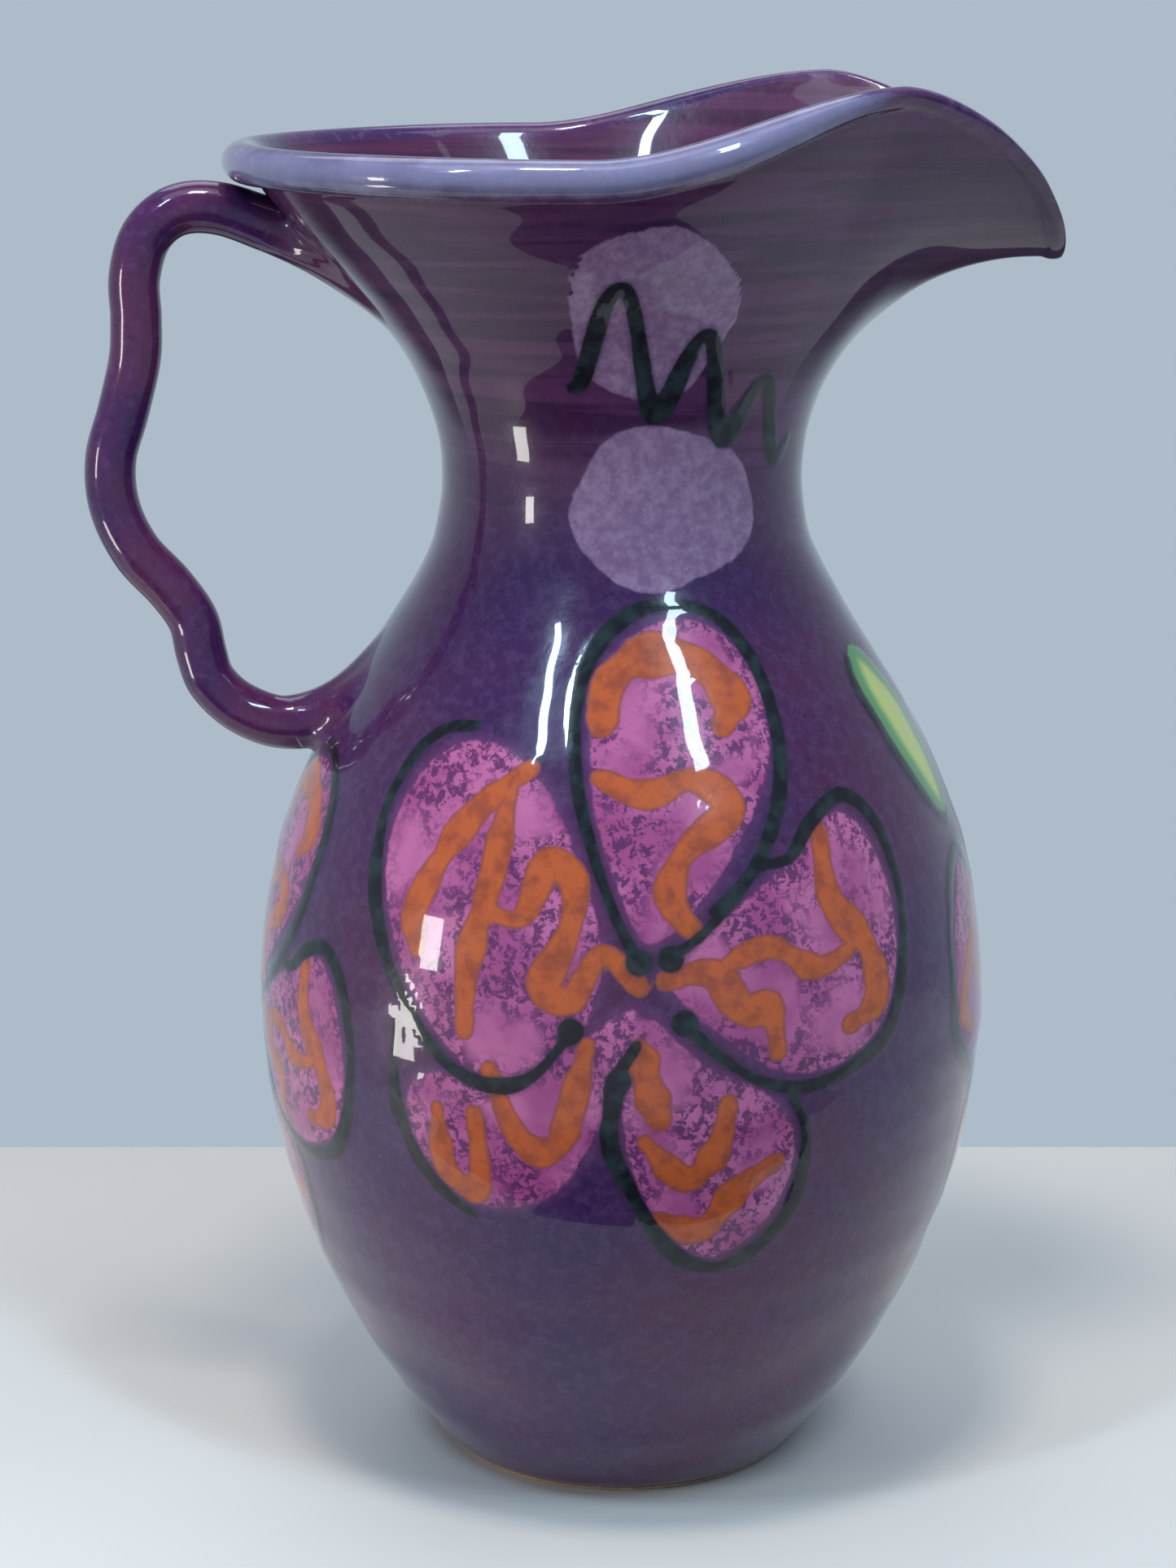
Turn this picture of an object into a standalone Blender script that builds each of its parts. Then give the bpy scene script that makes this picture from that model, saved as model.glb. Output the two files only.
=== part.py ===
"""A glazed stoneware pitcher: a wheel-thrown body with a pulled spout and a wavy coil handle.

The body stands on its foot at the origin, +Z up. The spout points along +X and the handle
along -X. Angles round the axis are counted from the spout, in radians.
"""

import math

import bmesh
import bpy
from mathutils import Vector

MM = 0.001

# ---------------------------------------------------------------- driving dimensions
FOOT_RADIUS = 34.5 * MM
FOOT_HEIGHT = 7.0 * MM
FOOT_EDGE = 1.0 * MM
BELLY_RADIUS = 74.0 * MM
BELLY_HEIGHT = 98.0 * MM
SHOULDER_RADIUS = 53.5 * MM
SHOULDER_HEIGHT = 164.5 * MM
SHOULDER_LEAN = 0.63
WAIST_RADIUS = 36.0 * MM
WAIST_HEIGHT = 204.0 * MM
RIM_HEIGHT = 270.0 * MM
RISE_X = -12.5 * MM
CREST_HEIGHT = 281.5 * MM
CREST_X = 48.5 * MM
TIP_X = 86.5 * MM
TIP_HEIGHT = 248.0 * MM
FALL_POWER = 1.55

# How far each curve of the outline holds its direction as it leaves or meets a joint.
FOOT_SPREAD = Vector((17.5 * MM, 17.0 * MM))
BELLY_HOLD_BELOW = Vector((0.0, 43.0 * MM))
BELLY_HOLD_ABOVE = Vector((0.0, 26.0 * MM))
SHOULDER_SLOPE = Vector((-SHOULDER_LEAN, 1.0))
SHOULDER_HOLD_BELOW = 20.0 * MM
SHOULDER_HOLD_ABOVE = 18.0 * MM
WAIST_HOLD_BELOW = Vector((0.0, 14.0 * MM))

BACK_RADIUS = 74.8 * MM
SIDE_RADIUS = 60.5 * MM
FRONT_RADIUS = 62.0 * MM
BEAK_WIDTH = 0.58
BEAK_POWER = 2.2
BEAK_CROWDING = 0.42

# How the flared wall leaves the waist and arrives at the rim, and how much that changes
# along the keel, the line under the spout.
NECK_CLIMB = 27.0 * MM
FLARE_REACH = 0.36
FLARE_DROP = 20.0 * MM
KEEL_WIDTH = 0.40
KEEL_CLIMB = -4.0 * MM
KEEL_REACH = -0.02
KEEL_PUSH = 11.0 * MM
KEEL_DROP = -22.0 * MM

BELLY_WALL = 5.0 * MM
BELLY_TOP = 112.0 * MM
NECK_WALL = 4.2 * MM
BEAD_RADIUS = 3.7 * MM
BEAD_END_RADIUS = 1.6 * MM
BEAD_END_ANGLE = math.radians(35)
BEAD_TAPER = math.radians(45)
BEAD_STEPS = 44
SPOUT_SEAM_X = 40.0 * MM

COIL_RADIUS = 5.1 * MM
COIL_FLARE = 1.12
COIL_SPAN_STEPS = 3
COIL_FLARE_STEPS = 8

TOP_PAD_PLACE = Vector((-62.5 * MM, 0.0, 250.0 * MM))
TOP_PAD_SIZE = Vector((6.0 * MM, 10.0 * MM, 11.0 * MM))
TOP_PAD_TILT = -0.75
BOTTOM_PAD_PLACE = Vector((-60.5 * MM, 0.0, 153.5 * MM))
BOTTOM_PAD_SIZE = Vector((5.0 * MM, 10.0 * MM, 12.0 * MM))
BOTTOM_PAD_TILT = 0.55

GAP = 0.3 * MM
STEPS = 48
OUTLINE_STEPS = 6
MOUTH_ROWS = 9

# Cutters reach well past what they cut.
SEAM_BOX = Vector((80 * MM, 160 * MM, 120 * MM))
SEAM_BOX_HEIGHT = 250 * MM
BACK_SLAB_WALL = 14 * MM
BACK_SLAB_LOW = 0.2
BACK_SLAB_SPREAD = 0.28 * math.pi
BACK_SLAB_STEPS = 16

# The centre line of the coil, in the plane y = 0: x and z in millimetres. Its two ends run
# into the wall, where they are cut off flush.
HANDLE_LINE = (
    (-56, 249.5),
    (-68, 253.6),
    (-79, 257.2),
    (-87.5, 256.8),
    (-93.4, 252),
    (-96, 244),
    (-95.8, 236),
    (-96.2, 228),
    (-98.8, 218),
    (-101.6, 208.5),
    (-101, 199),
    (-97, 190),
    (-90.6, 182.6),
    (-86.2, 176),
    (-84.6, 169),
    (-82.8, 163.5),
    (-78, 158.4),
    (-71, 155),
    (-64, 154.6),
    (-54, 156.5),
)


# ---------------------------------------------------------------- scene and materials
def clear_scene():
    for thing in list(bpy.data.objects):
        bpy.data.objects.remove(thing)


def new_collection(name):
    made = bpy.data.collections.new(name)
    bpy.context.scene.collection.children.link(made)
    return made


def material(name, colour, roughness, coat=0.0):
    made = bpy.data.materials.new(name)
    made.use_nodes = True
    shader = made.node_tree.nodes["Principled BSDF"]
    shader.inputs["Base Color"].default_value = (*colour, 1.0)
    shader.inputs["Roughness"].default_value = roughness
    shader.inputs["Metallic"].default_value = 0.0
    shader.inputs["Coat Weight"].default_value = coat
    return made


def add_object(name, mesh, collection, look=None):
    made = bpy.data.objects.new(name, mesh)
    collection.objects.link(made)
    if look is not None:
        mesh.materials.append(look)
    return made


def make_cutter(thing):
    thing.hide_render = True
    thing.display_type = "WIRE"
    return thing


def cut(target, cutter, operation="DIFFERENCE"):
    modifier = target.modifiers.new("cut_by_" + cutter.name, "BOOLEAN")
    modifier.operation = operation
    modifier.object = cutter


# ---------------------------------------------------------------- outlines
def bezier(points, t):
    """The point at t on one cubic curve, from its four control points."""
    a, b, c, d = points
    s = 1.0 - t
    return a * s**3 + b * (3 * s * s * t) + c * (3 * s * t * t) + d * t**3


def body_curves():
    """The outer outline of foot, belly and shoulder, as (radius, height) control points."""
    foot = Vector((FOOT_RADIUS, 0.0))
    belly = Vector((BELLY_RADIUS, BELLY_HEIGHT))
    shoulder = Vector((SHOULDER_RADIUS, SHOULDER_HEIGHT))
    waist = Vector((WAIST_RADIUS, WAIST_HEIGHT))
    below_shoulder = shoulder - SHOULDER_SLOPE * SHOULDER_HOLD_BELOW
    above_shoulder = shoulder + SHOULDER_SLOPE * SHOULDER_HOLD_ABOVE
    foot_to_belly = (foot, foot + FOOT_SPREAD, belly - BELLY_HOLD_BELOW, belly)
    belly_to_shoulder = (belly, belly + BELLY_HOLD_ABOVE, below_shoulder, shoulder)
    shoulder_to_waist = (shoulder, above_shoulder, waist - WAIST_HOLD_BELOW, waist)
    return foot_to_belly, belly_to_shoulder, shoulder_to_waist


def body_outline(steps=OUTLINE_STEPS):
    """Points down the outer outline, from the waist to the table."""
    climbing = []
    for curve in body_curves():
        climbing += [bezier(curve, i / steps) for i in range(steps)]
    climbing.append(Vector((WAIST_RADIUS, WAIST_HEIGHT)))
    return climbing[::-1]


def radius_at(height):
    """The outer radius of the body at one height."""
    outline = body_outline(4 * OUTLINE_STEPS)
    for upper, lower in zip(outline, outline[1:]):
        if lower.y <= height <= upper.y:
            share = (height - lower.y) / (upper.y - lower.y)
            return lower.x + (upper.x - lower.x) * share
    return WAIST_RADIUS


def offset_line(points, distance):
    """The same downward outline moved sideways, towards the axis."""
    moved = []
    for i, point in enumerate(points):
        before = points[max(i - 1, 0)]
        after = points[min(i + 1, len(points) - 1)]
        along = (after - before).normalized()
        moved.append(point + Vector((along.y, -along.x)) * distance)
    return moved


# ---------------------------------------------------------------- mouth and rim
def mouth_radius(angle):
    """Plan of the rim: an oval, narrower towards the spout, with the beak pulled out of it."""
    turn = math.cos(angle)
    drop = (BACK_RADIUS - FRONT_RADIUS) / 2
    rise = (BACK_RADIUS + FRONT_RADIUS) / 2 - SIDE_RADIUS
    away = math.atan2(math.sin(angle), turn)
    beak = (TIP_X - FRONT_RADIUS) * math.exp(-(abs(away / BEAK_WIDTH) ** BEAK_POWER))
    return SIDE_RADIUS - drop * turn + rise * turn * turn + beak


def smooth_step(value):
    t = min(max(value, 0.0), 1.0)
    return t * t * (3 - 2 * t)


def crest(x):
    """Height of the top of the rim: level at the back, rising to a crest on each side of the
    spout and then falling along a quarter of a flattened ellipse to the pouring tip."""
    rise = smooth_step((x - RISE_X) / (CREST_X - RISE_X))
    along = min(max(x - CREST_X, 0.0) / (TIP_X - CREST_X), 1.0)
    fall = 1 - (1 - along**FALL_POWER) ** (1 / FALL_POWER)
    return RIM_HEIGHT + (CREST_HEIGHT - RIM_HEIGHT) * rise - (CREST_HEIGHT - TIP_HEIGHT) * fall


def bead_size(angle):
    """Radius of the rolled bead, which thins out where it runs into the spout."""
    away = abs(math.atan2(math.sin(angle), math.cos(angle)))
    share = smooth_step((away - BEAD_END_ANGLE) / BEAD_TAPER)
    return BEAD_END_RADIUS + (BEAD_RADIUS - BEAD_END_RADIUS) * share


def rim_point(angle):
    """The centre of the bead, or the edge of the pouring lip, at one angle."""
    radius = mouth_radius(angle)
    x = radius * math.cos(angle)
    return Vector((x, radius * math.sin(angle), crest(x) - bead_size(angle)))


def flare_point(angle, t):
    """The outer surface between the waist (t = 0) and the rim (t = 1)."""
    outward = Vector((math.cos(angle), math.sin(angle), 0.0))
    away = math.atan2(math.sin(angle), math.cos(angle))
    keel = math.exp(-((away / KEEL_WIDTH) ** 2))
    start = outward * WAIST_RADIUS + Vector((0, 0, WAIST_HEIGHT))
    end = rim_point(angle)
    climb = Vector((0, 0, NECK_CLIMB + KEEL_CLIMB * keel))
    reach = (FLARE_REACH + KEEL_REACH * keel) * (end.xy.length - WAIST_RADIUS)
    sideways = outward * (reach + KEEL_PUSH * keel)
    arrive = sideways + Vector((0, 0, FLARE_DROP + KEEL_DROP * keel))
    return bezier((start, start + climb, end - arrive, end), t)


def loft_mesh(name, angles, rows, closed, low=0.0):
    """An open sheet of the flared wall, one ring of points for each row."""
    form = bmesh.new()
    rings = []
    for row in range(rows + 1):
        t = low + (1 - low) * row / rows
        rings.append([form.verts.new(flare_point(angle, t)) for angle in angles])
    columns = len(angles) if closed else len(angles) - 1
    for lower, upper in zip(rings, rings[1:]):
        for i in range(columns):
            j = (i + 1) % len(angles)
            form.faces.new((lower[i], lower[j], upper[j], upper[i]))
    mesh = bpy.data.meshes.new(name)
    form.to_mesh(mesh)
    form.free()
    mesh.shade_smooth()
    return mesh


def mouth_angles():
    """Angles round the mouth, closer together in the beak."""
    turns = [2 * math.pi * i / STEPS for i in range(STEPS)]
    return [turn - BEAK_CROWDING * math.sin(turn) for turn in turns]


def solidify(thing, thickness, outside):
    """Give the sheet a wall, with a little of it outside the sheet and the rest inside."""
    modifier = thing.modifiers.new("wall", "SOLIDIFY")
    modifier.thickness = thickness
    modifier.offset = 2 * outside / thickness - 1
    modifier.use_even_offset = True


# ---------------------------------------------------------------- turned pieces
def turned(name, profile, collection, look=None):
    """A closed ring or a disc, from a profile that runs down its outer side."""
    form = bmesh.new()
    verts = [form.verts.new((point.x, 0.0, point.y)) for point in profile]
    for first, second in zip(verts, verts[1:]):
        form.edges.new((first, second))
    if profile[0].x > 1e-6 and profile[-1].x > 1e-6:
        form.edges.new((verts[-1], verts[0]))
    mesh = bpy.data.meshes.new(name)
    form.to_mesh(mesh)
    form.free()
    made = add_object(name, mesh, collection, look)
    screw = made.modifiers.new("turn", "SCREW")
    screw.steps = STEPS
    screw.render_steps = STEPS
    screw.use_merge_vertices = True
    screw.merge_threshold = 0.00001
    screw.use_smooth_shade = True
    return made


def make_foot(collection, look):
    top = FOOT_HEIGHT - GAP / 2
    profile = [
        Vector((0.0, top)),
        Vector((radius_at(top), top)),
        Vector((radius_at(top / 2), top / 2)),
        Vector((radius_at(FOOT_EDGE), FOOT_EDGE)),
        Vector((FOOT_RADIUS - FOOT_EDGE, 0.0)),
        Vector((0.0, 0.0)),
    ]
    return turned("foot", profile, collection, look)


def make_wall(name, low, high, collection, look):
    """One region of the thrown wall, between two heights, as a ring."""
    outer = [point for point in body_outline() if low + MM < point.y < high - MM]
    outer = [Vector((radius_at(high), high))] + outer + [Vector((radius_at(low), low))]
    inner = offset_line(outer, BELLY_WALL)[::-1]
    inner[0].y = low
    inner[-1].y = high
    return turned(name, outer + inner, collection, look)


# ---------------------------------------------------------------- curves
def tube(name, path, sizes, collection, look=None):
    """A round bar along a path, made a mesh with its caps welded on."""
    curve = bpy.data.curves.new(name, "CURVE")
    curve.dimensions = "3D"
    curve.bevel_depth = 1.0
    curve.bevel_resolution = 4
    curve.use_fill_caps = True
    spline = curve.splines.new("POLY")
    spline.points.add(len(path) - 1)
    for point, place, size in zip(spline.points, path, sizes):
        point.co = (*place, 1.0)
        point.radius = size
    drawn = bpy.data.objects.new(name + "_line", curve)
    collection.objects.link(drawn)
    graph = bpy.context.evaluated_depsgraph_get()
    mesh = bpy.data.meshes.new_from_object(drawn.evaluated_get(graph))
    mesh.name = name
    matrix = drawn.matrix_world.copy()
    bpy.data.objects.remove(drawn)
    form = bmesh.new()
    form.from_mesh(mesh)
    bmesh.ops.remove_doubles(form, verts=form.verts, dist=0.000001)
    form.to_mesh(mesh)
    form.free()
    mesh.materials.clear()
    mesh.shade_smooth()
    made = add_object(name, mesh, collection, look)
    made.matrix_world = matrix
    return made


def make_bead(name, extra, collection, look=None):
    """The rolled edge of the mouth, from one side of the spout round the back to the other."""
    first = BEAD_END_ANGLE
    last = 2 * math.pi - BEAD_END_ANGLE
    angles = [first + (last - first) * i / BEAD_STEPS for i in range(BEAD_STEPS + 1)]
    path = [rim_point(angle) for angle in angles]
    sizes = [bead_size(angle) + extra for angle in angles]
    if extra > 0:
        path[0] += (path[0] - path[1]).normalized() * extra
        path[-1] += (path[-1] - path[-2]).normalized() * extra
    return tube(name, path, sizes, collection, look)


def spline_path(points, per_span):
    """A smooth line through hand-set points, each span bent by its neighbours."""
    path = []
    for i in range(len(points) - 1):
        a = points[max(i - 1, 0)]
        b = points[i]
        c = points[i + 1]
        d = points[min(i + 2, len(points) - 1)]
        control = (b, b + (c - a) / 6, c - (d - b) / 6, c)
        path += [bezier(control, k / per_span) for k in range(per_span)]
    return path + [points[-1]]


def make_coil(name, extra, collection, look=None):
    """The handle: one round coil bent in waves, a little thicker where it meets the body."""
    points = [Vector((x * MM, 0.0, z * MM)) for x, z in HANDLE_LINE]
    path = spline_path(points, COIL_SPAN_STEPS)
    sizes = []
    for i in range(len(path)):
        from_end = min(i, len(path) - 1 - i) / COIL_FLARE_STEPS
        flare = COIL_FLARE - (COIL_FLARE - 1) * smooth_step(from_end)
        sizes.append(COIL_RADIUS * flare + extra)
    return tube(name, path, sizes, collection, look)


# ---------------------------------------------------------------- handle joints
def make_pad(name, place, size, tilt, collection, look):
    """A lump of soft clay pressed round an end of the coil, as a squashed ball."""
    form = bmesh.new()
    bmesh.ops.create_uvsphere(form, u_segments=24, v_segments=12, radius=1.0)
    for vert in form.verts:
        vert.co = Vector((vert.co.x * size.x, vert.co.y * size.y, vert.co.z * size.z))
    mesh = bpy.data.meshes.new(name)
    form.to_mesh(mesh)
    form.free()
    mesh.shade_smooth()
    made = add_object(name, mesh, collection, look)
    made.location = place
    made.rotation_euler = (0.0, tilt, 0.0)
    return made


def body_cutter(collection):
    """The outer shape of the belly and shoulder as a solid, larger by the gap."""
    outer = [point + Vector((GAP, 0.0)) for point in body_outline()[:-1]]
    top = Vector((0.0, outer[0].y))
    bottom = Vector((0.0, outer[-1].y))
    return make_cutter(turned("body_cutter", [top] + outer + [bottom], collection))


def flare_cutter(collection):
    """The back of the flared wall as a thick slab, reaching outside it by the gap."""
    step = 2 * BACK_SLAB_SPREAD / BACK_SLAB_STEPS
    first = math.pi - BACK_SLAB_SPREAD
    angles = [first + step * i for i in range(BACK_SLAB_STEPS + 1)]
    mesh = loft_mesh("flare_cutter", angles, MOUTH_ROWS, closed=False, low=BACK_SLAB_LOW)
    made = add_object("flare_cutter", mesh, collection)
    solidify(made, BACK_SLAB_WALL, GAP)
    return make_cutter(made)


def seam_cutter(name, x, collection):
    """A box that holds everything on the spout's side of its seam."""
    place = (x + SEAM_BOX.x / 2, 0.0, SEAM_BOX_HEIGHT)
    bpy.ops.mesh.primitive_cube_add(size=1.0, location=place)
    made = bpy.context.object
    made.name = name
    made.scale = SEAM_BOX
    for owner in list(made.users_collection):
        owner.objects.unlink(made)
    collection.objects.link(made)
    return make_cutter(made)


# ---------------------------------------------------------------- assembly
def build():
    clear_scene()
    parts = new_collection("ceramic_pitcher")
    cutters = new_collection("cutters")

    aubergine = material("aubergine_glaze", (0.070, 0.034, 0.105), 0.12, 0.6)
    plum = material("plum_glaze", (0.085, 0.028, 0.095), 0.12, 0.6)
    violet = material("violet_bead_glaze", (0.110, 0.060, 0.170), 0.10, 0.7)

    make_foot(parts, aubergine)
    make_wall("belly", FOOT_HEIGHT + GAP / 2, BELLY_TOP - GAP / 2, parts, aubergine)
    make_wall("shoulder", BELLY_TOP + GAP / 2, WAIST_HEIGHT - GAP / 2, parts, aubergine)

    wide_bead = make_cutter(make_bead("bead_cutter", GAP, cutters))
    wide_coil = make_cutter(make_coil("coil_cutter", GAP, cutters))
    belly_side = body_cutter(cutters)
    flare_side = flare_cutter(cutters)

    sheet = loft_mesh("flared_neck", mouth_angles(), MOUTH_ROWS, closed=True)
    for vert in sheet.vertices:
        vert.co.z = max(vert.co.z, WAIST_HEIGHT + GAP / 2)
    neck = add_object("flared_neck", sheet, parts, aubergine)
    solidify(neck, NECK_WALL, 0.0)
    spout = add_object("spout", sheet.copy(), parts)
    solidify(spout, NECK_WALL, 0.0)
    cut(neck, seam_cutter("neck_seam", SPOUT_SEAM_X - GAP / 2, cutters))
    cut(spout, seam_cutter("spout_seam", SPOUT_SEAM_X + GAP / 2, cutters), "INTERSECT")
    cut(neck, wide_bead)
    cut(spout, wide_bead)

    make_bead("rim_bead", 0.0, parts, violet)

    handle = make_coil("handle", 0.0, parts, plum)
    cut(handle, belly_side)
    cut(handle, flare_side)

    top_pad = make_pad(
        "handle_top_joint", TOP_PAD_PLACE, TOP_PAD_SIZE, TOP_PAD_TILT, parts, plum
    )
    bottom_pad = make_pad(
        "handle_bottom_joint", BOTTOM_PAD_PLACE, BOTTOM_PAD_SIZE, BOTTOM_PAD_TILT, parts, plum
    )
    for pad, wall in ((top_pad, flare_side), (bottom_pad, belly_side)):
        cut(pad, wall)
        cut(pad, wide_coil)
    cut(top_pad, wide_bead)


build()
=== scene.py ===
# %% [markdown]
# # A glazed stoneware pitcher
#
# The real pitcher is one piece of thrown clay with a spout pulled out of its mouth, a rolled
# rim, and a rolled coil bent into a wavy handle. It is painted with flowers under a thick
# glossy glaze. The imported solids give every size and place. This lesson covers them with one
# fine skin, so that a highlight runs over the whole pot without a break, and then cuts that
# skin into the same separate pieces as the solids.

# %% Load the solids
import math

import bmesh
import bpy
import numpy as np
from mathutils import Matrix, Vector


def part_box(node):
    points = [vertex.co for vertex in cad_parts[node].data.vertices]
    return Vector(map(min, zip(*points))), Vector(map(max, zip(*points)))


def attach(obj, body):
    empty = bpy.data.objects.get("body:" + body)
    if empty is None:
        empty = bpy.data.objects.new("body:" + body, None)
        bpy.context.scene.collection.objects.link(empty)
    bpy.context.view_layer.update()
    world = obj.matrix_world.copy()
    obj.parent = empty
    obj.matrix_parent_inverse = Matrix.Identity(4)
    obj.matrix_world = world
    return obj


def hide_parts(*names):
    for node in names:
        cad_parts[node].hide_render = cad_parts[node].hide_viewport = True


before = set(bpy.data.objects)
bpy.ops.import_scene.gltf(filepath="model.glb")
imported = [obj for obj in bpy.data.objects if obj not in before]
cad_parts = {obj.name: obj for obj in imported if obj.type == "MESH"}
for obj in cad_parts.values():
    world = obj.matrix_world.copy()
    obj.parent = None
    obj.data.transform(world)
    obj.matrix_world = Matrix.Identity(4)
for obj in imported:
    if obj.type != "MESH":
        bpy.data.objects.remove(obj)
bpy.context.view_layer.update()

MM = 0.001
print("solids:", sorted(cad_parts))

# %% [markdown]
# ## The driving sizes
#
# Each size that a solid shows is read from that solid's box, so the skin stays on the solids
# if they change. The few sizes that no box shows, such as where the shoulder turns, are the
# potter's own choices and are written out as numbers.

# %% Sizes
foot_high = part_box("foot")[1]
belly_low, belly_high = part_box("belly")
shoulder_low, shoulder_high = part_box("shoulder")
neck_low, neck_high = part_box("flared_neck")
bead_low, bead_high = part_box("rim_bead")
spout_low, spout_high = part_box("spout")

FOOT_RADIUS = 34.5 * MM
FOOT_HEIGHT = (foot_high.z + belly_low.z) / 2
BELLY_RADIUS = belly_high.x
BELLY_HEIGHT = 98 * MM
SHOULDER_RADIUS = 53.5 * MM
SHOULDER_HEIGHT = 164.5 * MM
SHOULDER_LEAN = 0.63
WAIST_RADIUS = 36 * MM
WAIST_HEIGHT = (shoulder_high.z + neck_low.z) / 2
CREST_HEIGHT = bead_high.z
CREST_OVER_RIM = 11.5 * MM
CREST_OVER_TIP = 33.5 * MM
RIM_HEIGHT = CREST_HEIGHT - CREST_OVER_RIM
BEAD_RADIUS = 3.7 * MM
BACK_RADIUS = -bead_low.x - BEAD_RADIUS
SIDE_RADIUS = 60.5 * MM
FRONT_RADIUS = 62 * MM
TIP_X = spout_high.x
TIP_HEIGHT = CREST_HEIGHT - CREST_OVER_TIP


def put_in_scene(name, data):
    """An object that shows this mesh, lamp or camera."""
    thing = bpy.data.objects.new(name, data)
    bpy.context.scene.collection.objects.link(thing)
    return thing


print("belly radius", round(BELLY_RADIUS / MM, 1), "mm, crest", round(CREST_HEIGHT / MM, 1), "mm")

# %% [markdown]
# ## The thrown body
#
# A potter draws the wall up from the wheel in one sweep, so the outline from foot to waist is
# one flowing line. Three cubic curves joined with matching slopes give that line with a
# handful of points, where a long list of radii would wobble.

# %% Outline of the body
# How far each curve holds its direction as it leaves or meets a joint of the outline.
FOOT_SPREAD = (17.5 * MM, 17 * MM)
BELLY_HOLD_BELOW, BELLY_HOLD_ABOVE = 43 * MM, 26 * MM
SHOULDER_HOLD_BELOW, SHOULDER_HOLD_ABOVE = 20 * MM, 18 * MM
WAIST_HOLD_BELOW = 14 * MM
OUTLINE_STEPS = 240


def bezier(a, b, c, d, t):
    """A cubic curve from a to d, with b and c as its handles."""
    s = 1 - t
    return a * s**3 + b * (3 * s * s * t) + c * (3 * s * t * t) + d * t**3


def body_outline(steps):
    """Radius and height from the table up to the waist."""
    t = np.linspace(0, 1, steps)[:, None]
    foot = np.array((FOOT_RADIUS, 0.0))
    belly = np.array((BELLY_RADIUS, BELLY_HEIGHT))
    shoulder = np.array((SHOULDER_RADIUS, SHOULDER_HEIGHT))
    waist = np.array((WAIST_RADIUS, WAIST_HEIGHT))
    fall = np.array((-SHOULDER_LEAN, 1.0))
    up = np.array((0.0, 1.0))
    below_belly, above_belly = belly - up * BELLY_HOLD_BELOW, belly + up * BELLY_HOLD_ABOVE
    below_shoulder = shoulder - fall * SHOULDER_HOLD_BELOW
    above_shoulder = shoulder + fall * SHOULDER_HOLD_ABOVE
    first = bezier(foot, foot + FOOT_SPREAD, below_belly, belly, t)
    second = bezier(belly, above_belly, below_shoulder, shoulder, t)
    third = bezier(shoulder, above_shoulder, waist - up * WAIST_HOLD_BELOW, waist, t)
    return np.concatenate([first, second[1:], third[1:]])


OUTLINE = body_outline(OUTLINE_STEPS)


def body_radius(height):
    return np.interp(height, OUTLINE[:, 1], OUTLINE[:, 0])


def even_rows(line, spacing):
    """The same line with its points one spacing apart."""
    steps = np.hypot(*np.diff(line, axis=0).T)
    length = np.concatenate([[0], np.cumsum(steps)])
    count = max(2, int(round(length[-1] / spacing)) + 1)
    at = np.linspace(0, length[-1], count)
    return np.stack([np.interp(at, length, line[:, k]) for k in range(line.shape[1])], axis=1)


print("widest at", round(OUTLINE[OUTLINE[:, 0].argmax(), 1] / MM), "mm above the table")

# %% [markdown]
# ## The mouth and the spout
#
# The mouth starts as a circle. Pulling the spout draws its front into a beak and lifts the rim
# into a crest on each side. Each part of that is a short formula of the angle round the pot:
# the plan of the rim, the height of the rim, and the thickness of the rolled bead, which thins
# out to a fine lip where the water runs.

# %% Plan, height and bead of the rim
BEAK_WIDTH = 0.58
BEAK_POWER = 2.2
KEEL_WIDTH = 0.40
RISE_X = -12.5 * MM
CREST_X = 48.5 * MM
FALL_POWER = 1.55
LIP_RADIUS = 1.7 * MM
BEAD_END = math.radians(35)
BEAD_TAPER = math.radians(45)
# How the wall leaves the waist and arrives at the rim, and how much that changes along the
# keel, the line under the spout.
NECK_CLIMB, KEEL_CLIMB = 27 * MM, -4 * MM
FLARE_REACH, KEEL_REACH = 0.36, -0.02
FLARE_DROP, KEEL_DROP = 20 * MM, -22 * MM
KEEL_PUSH = 11 * MM


def smooth_step(value):
    t = np.clip(value, 0, 1)
    return t * t * (3 - 2 * t)


def wrap(angle):
    return (angle + np.pi) % (2 * np.pi) - np.pi


def mouth_radius(angle):
    turn = np.cos(angle)
    drop = (BACK_RADIUS - FRONT_RADIUS) / 2
    rise = (BACK_RADIUS + FRONT_RADIUS) / 2 - SIDE_RADIUS
    beak = (TIP_X - FRONT_RADIUS) * np.exp(-(np.abs(wrap(angle) / BEAK_WIDTH) ** BEAK_POWER))
    return SIDE_RADIUS - drop * turn + rise * turn**2 + beak


def crest(x):
    rise = smooth_step((x - RISE_X) / (CREST_X - RISE_X))
    along = np.clip((x - CREST_X) / (TIP_X - CREST_X), 0, 1)
    fall = 1 - (1 - along**FALL_POWER) ** (1 / FALL_POWER)
    return RIM_HEIGHT + (CREST_HEIGHT - RIM_HEIGHT) * rise - (CREST_HEIGHT - TIP_HEIGHT) * fall


def bead_share(angle):
    """1 where the bead is full, 0 where it has run out into the lip."""
    return smooth_step((np.abs(wrap(angle)) - BEAD_END) / BEAD_TAPER)


def rim_line(angle):
    """Radius and height of the centre of the bead."""
    radius = mouth_radius(angle)
    size = LIP_RADIUS + (BEAD_RADIUS - LIP_RADIUS) * bead_share(angle)
    return radius, crest(radius * np.cos(angle)) - size


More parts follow.
